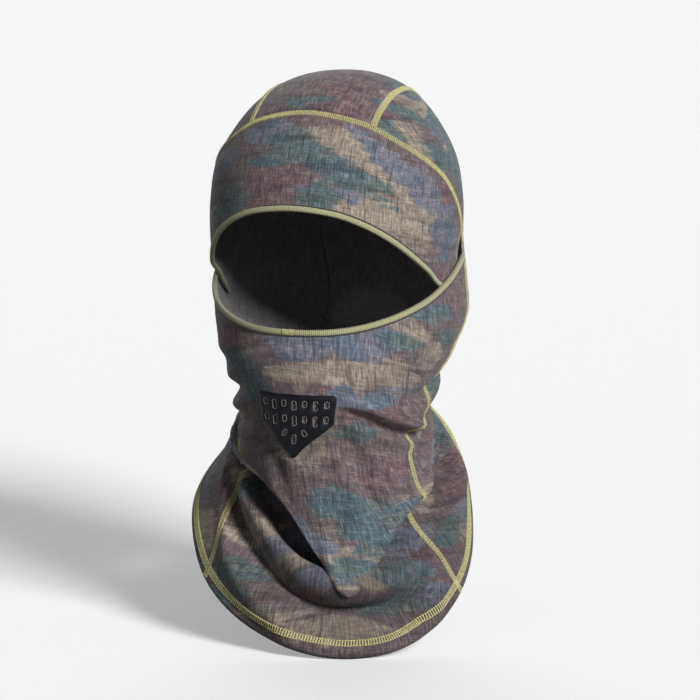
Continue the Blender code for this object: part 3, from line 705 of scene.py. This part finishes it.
def joined(name, parts, material):
    """One object from several vertex and face lists."""
    verts, faces, start = [], [], 0
    for v, f in parts:
        verts.append(v)
        faces += [[i + start for i in face] for face in f]
        start += len(v)
    return new_object(name, np.vstack(verts), faces, [material])


def ladder(line, width, start=0.0, pitch=RUNG_PITCH, radius=THREAD):
    """The threads that cross a seam side by side, and the two finer ones along its sides."""
    count = int((line.length - start) / pitch)
    share, taper = np.array(RUNG_PLACES), np.array(RUNG_TAPER)
    parts = []
    for i in range(count):
        s = start + (i + 0.5 + RUNG_SLANT * share) * pitch
        points, normal = line.at(s, share * width / 2, RUNG_TOP - RUNG_DIP * share ** 4)
        parts.append(tube(points, normal, radius * taper))
    for edge in (-COVER_PLACE, COVER_PLACE):
        s = np.arange(start, line.length, pitch / 4)
        wave = np.cos(2 * pi * (s - start) / pitch)
        points, normal = line.at(s, edge * width / 2, COVER_TOP * (1 - wave))
        parts.append(tube(points, normal, radius / 2))
    return parts


# ---- materials
class Graph:
    """A material's nodes, written as expressions."""

    def __init__(self, name, roughness, sheen=0.0, specular=0.5):
        self.material = bpy.data.materials.new(name)
        self.material.use_nodes = True
        self.nodes, self.links = self.material.node_tree.nodes, self.material.node_tree.links
        self.shader = self.nodes["Principled BSDF"]
        for key, value in (("Roughness", roughness), ("Sheen Weight", sheen),
                           ("Sheen Roughness", 0.6), ("Specular IOR Level", specular)):
            self.shader.inputs[key].default_value = value

    def put(self, socket, value):
        if hasattr(value, "links"):
            self.links.new(value, socket)
        else:
            socket.default_value = value

    def node(self, kind, values=(), **settings):
        """The outputs of a new node, given the values or links of its inputs."""
        node = self.nodes.new("ShaderNode" + kind)
        for key, value in settings.items():
            setattr(node, key, value)
        for key, value in dict(values).items():
            self.put(node.inputs[key], value)
        return node.outputs

    def attribute(self, name, output="Vector"):
        return self.node("Attribute", attribute_name=name)[output]

    def math(self, operation, a, b=0.0):
        return self.node("Math", {0: a, 1: b}, operation=operation)[0]

    def total(self, *terms):
        """The sum of values, each given with its share."""
        value = None
        for part, share in terms:
            part = part if share == 1 else self.math("MULTIPLY", part, share)
            value = part if value is None else self.math("ADD", value, part)
        return value

    def about_zero(self, *noise):
        return self.math("SUBTRACT", self.noise(*noise, detail=2), 0.5)

    def scaled(self, vector, scale, shift=(0, 0, 0)):
        return self.node("VectorMath", {0: vector, 1: scale, 2: shift}, operation="MULTIPLY_ADD")[0]

    def noise(self, vector, scale, shift=(0, 0, 0), detail=1.0):
        return self.node("TexNoise", {"Vector": self.scaled(vector, scale, shift), "Scale": 1.0,
                                      "Detail": detail, "Roughness": 0.5})["Fac"]

    def span(self, value, low, high, to_low=0.0, to_high=1.0, smooth=False):
        """A value read from one range into another."""
        values = {"Value": value, "From Min": low, "From Max": high, "To Min": to_low,
                  "To Max": to_high}
        kind = "SMOOTHSTEP" if smooth else "LINEAR"
        return self.node("MapRange", values, interpolation_type=kind)["Result"]

    def mix(self, share, a, b, blend="MIX"):
        node = self.nodes.new("ShaderNodeMix")
        node.data_type, node.blend_type = "RGBA", blend
        self.put(node.inputs["Factor"], share)
        for key, value in (("A", a), ("B", b)):
            socket = [i for i in node.inputs if i.name == key and i.type == "RGBA"][0]
            self.put(socket, (*value, 1) if isinstance(value, tuple) else value)
        return [o for o in node.outputs if o.type == "RGBA"][0]

    def colour(self, value):
        value = (*value, 1) if isinstance(value, tuple) else value
        self.put(self.shader.inputs["Base Color"], value)

    def glow(self, level):
        self.shader.inputs["Emission Color"].default_value = (1, 1, 1, 1)
        self.shader.inputs["Emission Strength"].default_value = level

    def bump(self, height, strength, distance):
        values = {"Strength": strength, "Distance": distance, "Height": height}
        self.put(self.shader.inputs["Normal"], self.node("Bump", values)["Normal"])


def slubs(g, place):
    """Light and dark threads of the linen-like print, down and across the cloth."""
    down = g.noise(place, (900, 140, 9), (3, 1, 0), detail=2)
    across = g.noise(place, (130, 900, 9), (7, 5, 2), detail=2)
    fine_down = g.noise(place, (2100, 330, 9), (1, 9, 4))
    fine_across = g.noise(place, (330, 2100, 9), (8, 2, 6))
    coarse, fine = g.total((down, 0.6), (across, 0.4)), g.total((fine_down, 0.6), (fine_across, 0.4))
    return coarse, fine, down, across


def printed_cloth():
    """The outside: blotches with ragged edges over a mottled ground, streaked like linen."""
    g = Graph("printed_cloth_outside", 0.92, 0.10, 0.25)
    place = g.attribute("print")
    tan, teal, blue = g.node("SeparateXYZ", {0: g.attribute("tones")})
    teeth, sway = g.about_zero(place, (34, 300, 9)), g.about_zero(place, (20, 80, 9), (4, 2, 1))
    brush = g.about_zero(place, (700, 110, 9), (6, 6, 6))
    ragged = g.total((teeth, 1.6), (sway, 1.2), (brush, 0.65))
    coarse, fine, down, across = slubs(g, place)
    cloud = g.noise(place, (38, 60, 9), (2, 6, 3), detail=3)
    colour = g.mix(g.span(cloud, 0.36, 0.64, smooth=True), BROWN, MAUVE)
    layers = ((g.attribute("rose", "Fac"), ROSE, ROSE_DARK, 0.1),
              (tan, TAN, TAN_DARK, 0.0), (blue, BLUE, LAVENDER, 0.2), (teal, TEAL, GREEN, 0.4))
    for k, (field, first, second, offset) in enumerate(layers):
        edge = g.total((field, 1), (ragged, 1 if k % 2 else -0.9))
        inside = g.math("MULTIPLY", g.span(edge, -0.20, 0.22, smooth=True), 0.92)
        patch = g.noise(place, (34, 90, 9), (offset * 31, 5, 8), detail=3)
        shade = g.mix(g.span(patch, 0.40, 0.62, smooth=True), first, second)
        colour = g.mix(inside, colour, shade)
    spots, bands = (90, 170, 9), (16, 150, 9)
    for scale, shift, tint, share in ((spots, (3, 3, 5), ROSE, 0.22), (spots, (17, 3, 5), BLUE, 0.25),
                                      (spots, (29, 3, 5), TAN, 0.18), (bands, (9, 1, 2), INK, 0.42)):
        wash = g.noise(place, scale, shift, detail=3)
        colour = g.mix(g.span(wash, 0.53, 0.68, 0.0, share, smooth=True), colour, tint)
    colour = g.mix(g.span(down, 0.55, 0.74, 0.0, 0.16), colour, PALE)
    colour = g.mix(g.span(across, 0.57, 0.74, 0.0, 0.12), colour, PALE)
    streak = g.noise(place, (480, 48, 9), (5, 3, 7), detail=2)
    colour = g.mix(g.span(streak, 0.57, 0.72, 0.0, 0.60), colour, INK)
    value = g.span(coarse, 0.36, 0.64, 0.60, 1.38)
    value = g.math("MULTIPLY", value, g.span(fine, 0.3, 0.7, 0.72, 1.30))
    # painted shade: darkens the bib's colour from its middle round to its left
    painted_shade_level = g.span(g.attribute("painted_bib_shade", "Fac"), 0.0, 1.0, 1.0, 1.0 - PAINTED_SHADE_SHARE)
    value = g.math("MULTIPLY", value, painted_shade_level)
    g.colour(g.mix(1.0, colour, value, "MULTIPLY"))
    g.bump(g.math("ADD", coarse, fine), 0.35, 0.0006)
    return g.material


def inner_cloth():
    """The inside: plain grey."""
    g = Graph("printed_cloth_inside", 0.95, 0.2, 0.2)
    place = g.attribute("print")
    coarse, fine, _, _ = slubs(g, place)
    g.colour(g.mix(g.span(coarse, 0.4, 0.6), (0.20, 0.185, 0.19), (0.31, 0.29, 0.295)))
    g.bump(g.math("ADD", coarse, fine), 0.3, 0.0005)
    return g.material


def mottled(name, dark, light, roughness, sheen=0.25, specular=0.35, spots=900, grain=(900, 2),
            bump=(0.3, 0.0003)):
    """Thread or rubber: spots of two shades over a fine grain."""
    g = Graph(name, roughness, sheen, specular)
    place = g.node("TexCoord")["Object"]
    g.colour(g.mix(g.span(g.noise(place, (spots,) * 3, detail=2), 0.35, 0.65), dark, light))
    g.bump(g.noise(place, (grain[0],) * 3, detail=grain[1]), *bump)
    return g.material


def tape_material():
    """Elastic tape, its ribs across its length, with painted shade along its folded edge."""
    g = Graph("binding_green", 0.75, 0.3, 0.35)
    place = g.attribute("print")
    rib = g.node("TexWave", {"Vector": g.scaled(place, (260, 40, 0)), "Scale": 1.0,
                             "Distortion": 0.6, "Detail": 1.0})["Fac"]
    grain = g.noise(place, (1500, 1500, 9), detail=2)
    around = g.node("SeparateXYZ", {0: place})[1]
    lip = g.math("ABSOLUTE", g.math("SUBTRACT", around, pi * BINDING_WIDTH / 2))
    base = g.mix(g.span(grain, 0.35, 0.65), (0.25, 0.24, 0.11), (0.42, 0.405, 0.22))
    base = g.mix(g.span(rib, 0.0, 1.0, 0.0, 0.45), base, (0.60, 0.58, 0.38))
    # painted shade: darker brown along the tape's folded edge, standing in for the shade on its rounded
    # lower side
    base = g.mix(g.span(lip, 0.0004, 0.0022, 0.75, 0.0), base, (0.12, 0.105, 0.05))
    g.colour(base)
    g.bump(g.math("ADD", rib, grain), 0.8, 0.0003)
    return g.material


BROWN, MAUVE = (0.136, 0.104, 0.098), (0.148, 0.105, 0.118)
ROSE, ROSE_DARK = (0.175, 0.100, 0.104), (0.115, 0.070, 0.085)
TAN, TAN_DARK = (0.345, 0.288, 0.228), (0.245, 0.203, 0.165)
BLUE, LAVENDER = (0.100, 0.135, 0.185), (0.175, 0.175, 0.215)
TEAL, GREEN = (0.070, 0.118, 0.142), (0.092, 0.134, 0.128)
PALE, INK = (0.42, 0.40, 0.39), (0.030, 0.030, 0.040)
CLOTH_OUT, CLOTH_IN = printed_cloth(), inner_cloth()
THREAD_MAT = mottled("seam_thread_green", (0.38, 0.35, 0.14), (0.66, 0.62, 0.30), 0.7)
BINDING_MAT = tape_material()
BLACK_MAT = mottled("black_thread", (0.008, 0.008, 0.009), (0.022, 0.022, 0.024), 0.7)
RIM_MAT = mottled("vent_rim_grey", (0.16, 0.14, 0.14), (0.36, 0.32, 0.32), 0.5)
RUBBER_MAT = mottled("vent_rubber_black", (0.0035, 0.004, 0.007), (0.008, 0.009, 0.013), 0.60,
                     0.0, 0.14, spots=120, grain=(1400, 3), bump=(0.18, 0.0002))


# ---- bodies
def stand_for(node):
    """A piece takes the place of a CAD node, which is hidden."""
    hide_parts(node)


def follow_mask(*pieces):
    """These pieces have their places baked into their meshes; they are attached to neither body."""
    for piece in pieces:
        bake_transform(piece)


def ride_hood(*pieces):
    """These pieces move with the hood alone."""
    for piece in pieces:
        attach(piece, HOOD)


# ---- panels: rough sizes for their meshes, in metres
STRIP_RUN, SIDE_ACROSS = 0.33, 0.13
BROW_ACROSS, BROW_DOWN, FRONT_ACROSS = 0.33, 0.075, 0.30


def crown_panel():
    """The centre strip, from the brow seam over the crown to the hem."""
    left = divide(STRIP_LINE)
    rows = len(left) - 1
    p, q = plan(left[:, 0], left[:, 1])
    line_p, line_q = plan(STRIP_LINE[:, 0], STRIP_LINE[:, 1])
    at = np.array([STRIP_T[np.argmin(np.hypot(line_p - a, line_q - b))] for a, b in zip(p, q)])
    columns = int(2 * CROWN_STRIP / CELL)
    t, across = np.meshgrid(at, np.linspace(-1, 1, columns + 1), indexing="ij")
    angle, drop = strip_place(t, across)
    grid = np.stack([angle % 360, drop], -1)
    run = np.linspace(0, 1, rows + 1)[:, None] * STRIP_RUN
    grain = np.stack([across * CROWN_STRIP, np.broadcast_to(run, across.shape)], -1)
    return panel("crown_cloth", grid, grain, 0.31)


def hood_side(name, sign):
    """One side of the hood, from the centre strip to the brow and side seams."""
    inner = divide(STRIP_LINE)
    outer_curve = np.vstack([BROW_LINE[BROW_LINE[:, 0] >= CORNER], SIDE_LINES[sign][1:]])
    outer = divide(outer_curve, count=len(inner) - 1)
    columns = int(SIDE_ACROSS / CELL)
    u = np.linspace(0, 1, columns + 1)[None, :, None]
    grid = inner[:, None] * (1 - u) + outer[:, None] * u
    grain = grain_of(grid, 90)
    return panel("hood_cloth_" + name, grid * (sign, 1), grain * (sign, 1), 0.57 + 0.2 * sign)


def brow_cloth():
    """The band across the forehead, its ends tucked behind the mask's edge."""
    columns = int(BROW_ACROSS / CELL)
    top, bottom = divide(BROW_LINE, count=columns), divide(EYE_LINE, count=columns)
    run = np.linspace(0, 1, int(BROW_DOWN / CELL) + 1)[:, None, None]
    grid = top[None] * (1 - run) + bottom[None] * run
    return panel("brow_cloth", grid, grain_of(grid), 1.9, tuck)


def below_ear(sign):
    """The side seam from the mask's edge down."""
    line = SIDE_LINES[sign]
    return line[line[:, 1] >= MASK_EDGE[-1][1]]


def front_cloth():
    """Mask and bib, between the mask's edge, both side seams and the hem."""
    columns = int(FRONT_ACROSS / CELL)
    top = divide(MASK_LINE, count=columns)
    left = divide(below_ear(1))
    right = divide(below_ear(-1), count=len(left) - 1) * (-1, 1)
    bottom = np.linspace(right[-1], left[-1], columns + 1)
    grid = coons(top, bottom, right, left)
    return panel("front_cloth", grid, grain_of(grid), 2.7)


front = front_cloth()
crown = crown_panel()
left_side = hood_side("left", 1)
right_side = hood_side("right", -1)
brow = brow_cloth()
for piece, node in ((front, "front_panel"), (crown, "crown_panel"), (brow, "brow_panel"),
                    (left_side, "hood_side_left"), (right_side, "hood_side_right")):
    stand_for(node)
ride_hood(crown, left_side, right_side, brow)
follow_mask(front)


# ---- seams
def flatlock(name, curve, node, start=0.0):
    """A flatlock seam along a curve, from its start on."""
    line = Line(curve, SEAM_STEP)
    piece = joined(name, ladder(line, SEAM_WIDTH, start), THREAD_MAT)
    stand_for(node)
    return piece


seams = {}
for side, sign in (("left", 1), ("right", -1)):
    seams["crown_" + side] = flatlock("crown_stitching_" + side, STRIP_LINE * (sign, 1),
                                      "crown_seam_" + side, SEAM_WIDTH / 2)
    seams["side_" + side] = flatlock("side_stitching_" + side, below_ear(sign) * (sign, 1),
                                     "side_seam_" + side)
seams["brow"] = flatlock("brow_stitching", BROW_LINE, "brow_seam")
ride_hood(seams["brow"], seams["crown_left"], seams["crown_right"])
follow_mask(seams["side_left"], seams["side_right"])

around = np.arange(-180, 180.25, 0.5)
hem_curve = np.stack([around, 0 * around + HEM - HEM_FOLD - SEAM_WIDTH / 2], -1)
hem_line = Line(hem_curve, SEAM_STEP, closed=True)
hem_threads = ladder(hem_line, SEAM_WIDTH * HEM_STITCHING, pitch=HEM_PITCH, radius=HEM_THREAD)
hem = joined("hem_stitching", hem_threads, THREAD_MAT)
stand_for("hem_coverstitch")
ride_hood(hem)


# ---- bindings
def binding(name, curve, side, node, sink=None):
    """Tape folded around an edge, from the edge towards one side."""
    line = Line(curve, EDGE_STEP, sink=sink)
    half = BINDING_WIDTH / 2
    turn = np.linspace(0, 2 * pi, 20, endpoint=False)
    s, c = np.sin(turn), np.cos(turn)
    across = half + half * BINDING_FULL * np.sign(c) * np.abs(c) ** BINDING_POWERS[0]
    off = BINDING_HALF * np.sign(s) * np.abs(s) ** BINDING_POWERS[1]
    rings = line.point[:, None] + line.square[:, None] * (across * side)[None, :, None]
    rings = rings + line.normal[:, None] * (off - CLOTH / 2)[None, :, None]
    n, m = rings.shape[:2]
    piece = new_object(name, rings.reshape(-1, 3), sleeve_faces(n, m), [BINDING_MAT])
    place = np.zeros((n, m, 3))
    place[..., 0] = (np.arange(n) * line.length / (n - 1))[:, None]
    place[..., 1] = turn * half
    paint(piece, "print", place)
    outward_faces(piece)
    stand_for(node)
    s = np.arange(0, line.length, EDGE_PITCH)
    points, normal = line.at(s, side * (BINDING_WIDTH + EDGE_GAP), EDGE_TOP)
    thread = joined(name + "_edge_thread", [tube(points, normal, EDGE_THREAD)], BLACK_MAT)
    return piece, thread


eye_pieces = binding("eye_binding", EYE_LINE[EYE_ENDS:-EYE_ENDS], 1, "brow_binding", tuck)
ride_hood(*eye_pieces)
mask_pieces = binding("nose_binding", MASK_LINE, -1, "mask_binding")
follow_mask(*mask_pieces)

TACK_BARS, TACK_PITCH, TACK_THREAD = 8, 0.0008, 0.00030
TACK_ANGLE, TACK_LEAN = -3, 0.6
TACK_HEIGHT, TACK_OFF, TACK_PAST = 0.0013, 0.0001, 0.05


def bartack(name, curve, side):
    """The stitches that close a binding's two ends on each other."""
    line = Line(curve, EDGE_STEP)
    middle = np.interp(TACK_ANGLE, line.places[:, 0], np.linspace(0, line.length, len(line.places)))
    share = np.linspace(0, 1, 7)
    parts = []
    for k in range(TACK_BARS):
        s = middle + (k - (TACK_BARS - 1) / 2) * TACK_PITCH
        lean = s + TACK_PITCH * TACK_LEAN * (share - 0.5) * (-1) ** k
        over = TACK_HEIGHT * np.sqrt(np.clip(1 - (2 * share - 1) ** 2, 0, 1)) + TACK_OFF
        reach = share * (1 + 2 * TACK_PAST) - TACK_PAST
        points, normal = line.at(lean, side * BINDING_WIDTH * reach, over)
        parts.append(tube(points, normal, TACK_THREAD))
    return joined(name, parts, THREAD_MAT)


tack = bartack("nose_bartack", MASK_LINE, -1)
follow_mask(tack)


# ---- vent
VENT_ANGLE, VENT_DROP = -3.0, 0.2415  # middle of its top edge
VENT_WIDTH, VENT_SIDE, VENT_HEIGHT = 0.0475, 0.0205, 0.0450
VENT_TILT = 1.2  # degrees, its left corner lower
VENT_LEAN = -0.13  # how far its lower part hangs to the right
VENT_OFF, VENT_THICK, VENT_BEVEL = 0.0004, 0.0013, 0.0005
VENT_CORNER, VENT_TAPER = 0.0026, 0.0005  # radius of its corners, draw of its sides
SLOT_HALF, SLOT_PITCH, SLOT_LEAN = 0.00125, 0.0062, -0.42
SLOT_LONG, SLOT_SHORT = 0.0068, 0.0047
SLOT_ROWS = ((0.0080, 0.0068, 1), (0.0188, 0.0176, 1), (0.0318, 0.0272, 0))
RIM_GROW, RIM_SINK, RIM_THREAD = 0.00005, 0.0004, 0.00021


def vent_slots():
    """Middle, length and lean of each slot, by row: long, lower ones between short ones."""
    found = []
    for low, high, full in SLOT_ROWS:
        for k in range(-3, 4) if full else (-1, 0, 1):
            long = k in (0, -2, 2)
            down, length = (low, SLOT_LONG) if long else (high, SLOT_SHORT)
            found.append((k * SLOT_PITCH, down, length, 0.0 if full else SLOT_LEAN * k))
    return found


def slot_outline(x, y, length, lean, grow=0.0, count=14):
    """A round-ended slot as a closed outline."""
    radius, half = SLOT_HALF + grow, length / 2 - SLOT_HALF
    outline = []
    for a in np.linspace(0, 2 * pi, count, endpoint=False) + pi / count:
        u, v = sin(a) * radius, cos(a) * radius + (half if cos(a) > 0 else -half)
        outline.append((x + u * cos(lean) - v * sin(lean), y + u * sin(lean) + v * cos(lean)))
    return outline


def rounded(corners, radius, steps=6):
    """A closed outline with round corners and points no further apart than a cell."""
    outline = []
    n = len(corners)
    for k in range(n):
        here, before, after = (np.array(corners[j % n]) for j in (k, k - 1, k + 1))
        a, b = unit(before - here), unit(after - here)
        half = np.arccos(np.clip(a @ b, -1, 1)) / 2
        centre = here + unit(a + b) * radius / sin(half)
        first, last = here + a * radius / np.tan(half), here + b * radius / np.tan(half)
        for t in np.linspace(0, 1, steps):
            outline.append(centre + unit(first * (1 - t) + last * t - centre) * radius)
    dense = []
    for a, b in zip(outline, outline[1:] + outline[:1]):
        parts = max(1, int(np.ceil(size(b - a) / CELL)))
        dense += [tuple(a + (b - a) * i / parts) for i in range(parts)]
    return dense


def on_vent(points, height):
    """Points of the patch's own plane laid on the cloth."""
    at, down, step = VENT_ANGLE, VENT_DROP + VENT_HEIGHT / 2, 0.002
    per_degree = size(form(at + 1, down) - form(at - 1, down)) / 2
    per_drop = size(form(at, down + step) - form(at, down - step)) / (2 * step)
    xy = np.array(points)
    xy[:, 0] += VENT_LEAN * xy[:, 1]
    t = radians(VENT_TILT)
    x, y = xy[:, 0] * cos(t) - xy[:, 1] * sin(t), xy[:, 0] * sin(t) + xy[:, 1] * cos(t)
    angle, drop = VENT_ANGLE + x / per_degree, VENT_DROP + y / per_drop
    normal = normals_of(form, angle, drop)
    return cloth(angle, drop) + normal * np.asarray(height)[..., None], normal


def vent():
    """The shield with its slots bored through, and the moulded rim around each slot."""
    half = VENT_WIDTH / 2
    low = half - VENT_TAPER
    shield = rounded([(-half, 0), (half, 0), (low, VENT_SIDE), (0, VENT_HEIGHT), (-low, VENT_SIDE)],
                     VENT_CORNER)
    loops = [shield] + [slot_outline(*slot) for slot in vent_slots()]
    fill = [(float(x), float(y)) for y in np.arange(CELL, VENT_HEIGHT, CELL)
            for x in np.arange(-half + CELL, half, CELL)]
    flat = [p for loop in loops for p in loop]
    starts = np.cumsum([0] + [len(loop) for loop in loops])
    rims = [list(range(a, b)) for a, b in zip(starts[:-1], starts[1:])]
    points, _, faces, origin, _, _ = delaunay_2d_cdt(flat + fill, [], rims, 2, 1e-7)
    used = sorted({i for f in faces for i in f})
    renumber = {old: new for new, old in enumerate(used)}
    faces = [[renumber[i] for i in f] for f in faces]
    points = np.array([points[i] for i in used])
    place = {old: renumber[new] for new, olds in enumerate(origin) if new in renumber for old in olds}
    edge = {place[i] for rim in rims for i in rim}
    k = len(points)
    top = [VENT_OFF + VENT_THICK - (VENT_BEVEL if i in edge else 0) for i in range(k)]
    upper, _ = on_vent(points, top)
    lower, _ = on_vent(points, VENT_OFF)
    polygons = faces + [[i + k for i in f[::-1]] for f in faces]
    for rim in rims:
        ring = [place[i] for i in rim]
        for a, b in zip(ring, ring[1:] + ring[:1]):
            polygons.append([b, a, a + k, b + k])
    patch = new_object("vent_shield", np.vstack([upper, lower]), polygons, [RUBBER_MAT])
    outward_faces(patch)
    stand_for("vent_patch")
    parts = []
    for slot in vent_slots():
        outline = slot_outline(*slot, grow=RIM_GROW, count=18)
        points, normal = on_vent(outline, VENT_OFF + VENT_THICK - RIM_SINK)
        parts.append(tube(points, normal, RIM_THREAD, closed=True))
    rims = joined("vent_slot_rims", parts, RIM_MAT)
    follow_mask(patch, rims)


vent()


# ---- stage
YAW, RISE, DISTANCE = 17.0, 9.0, 3.0  # where it is seen from: degrees and metres
VIEW_WIDTH, SENSOR = 0.44304, 36.0  # of the view at the origin in m, of the sensor in mm
AIM_RIGHT, AIM_UP = 0.00886, -0.06582  # from the origin to the middle of the view
WALL_RADIUS, WALL_HEIGHT, WALL_SIDES = 8.5, 2.5, 96
FLOOR_HALF, FLOOR_GAP = 9.0, 0.0002
WALL_GLOW, FLOOR_GLOW, SKY_GLOW = 0.86, 0.17, 0.14


def camera():
    """A long lens at the photograph's angle."""
    data = bpy.data.cameras.new("camera")
    data.sensor_width, data.clip_end = SENSOR, 50
    data.lens = SENSOR * DISTANCE / VIEW_WIDTH
    a, e = radians(YAW), radians(RISE)
    back = Vector((sin(a) * cos(e), -cos(a) * cos(e), sin(e)))
    right = Vector((cos(a), sin(a), 0))
    up = back.cross(right)
    at = right * AIM_RIGHT + up * AIM_UP + back * DISTANCE
    obj = add("camera", data)
    obj.matrix_world = Matrix.Translation(at) @ Matrix((right, up, back)).transposed().to_4x4()
    bpy.context.scene.camera = obj


def sun(name, towards, power, spread):
    """A soft light from far away; towards points from the object to it."""
    data = bpy.data.lights.new(name, "SUN")
    data.energy, data.angle = power, radians(spread)
    add(name, data).rotation_euler = Vector(towards).to_track_quat("Z", "Y").to_euler()


def glowing(name, grey, roughness, specular, level):
    """A plain material that is also a little bright by itself."""
    g = Graph(name, roughness, specular=specular)
    g.colour((grey,) * 3)
    g.glow(level)
    return g.material


def backdrop():
    """A pale wall all round, far behind the object, as bright as the floor."""
    turn = np.linspace(0, 2 * pi, WALL_SIDES, endpoint=False)
    low = np.stack([np.cos(turn), np.sin(turn), 0 * turn], -1) * WALL_RADIUS
    k = np.arange(WALL_SIDES)
    after = (k + 1) % WALL_SIDES
    faces = np.stack([after, k, k + WALL_SIDES, after + WALL_SIDES], -1).tolist()
    points = np.vstack([low, low + (0, 0, WALL_HEIGHT)])
    finish = glowing("wall_paint", 0.0, 1.0, 0.0, WALL_GLOW)
    obj = new_object("wall", points, faces, [finish], smooth=False)
    obj.visible_shadow = False
    return obj


camera()
sun("key", (1.0, -0.80, 0.70), 3.50, 20)
sun("fill_behind", (-0.35, 1.0, 0.26), 1.5, 60)
bpy.context.scene.view_settings.view_transform = "Standard"
world = bpy.data.worlds.new("studio")
bpy.context.scene.world = world
world.use_nodes = True
sky = world.node_tree.nodes["Background"].inputs
sky["Color"].default_value, sky["Strength"].default_value = (0.92, 0.93, 0.94, 1), SKY_GLOW

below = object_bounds()[0][2] - FLOOR_GAP
corners = [(x * FLOOR_HALF, y * FLOOR_HALF, 0) for x, y in ((-1, -1), (1, -1), (1, 1), (-1, 1))]
paper = glowing("floor_paper", 0.9, 0.9, 0.5, FLOOR_GLOW)
floor = new_object("floor", corners, [(0, 1, 2, 3)], [paper], smooth=False)
wall = backdrop()
for piece in (floor, wall):
    piece.location = (0, 0, below)
    piece.visible_diffuse = False
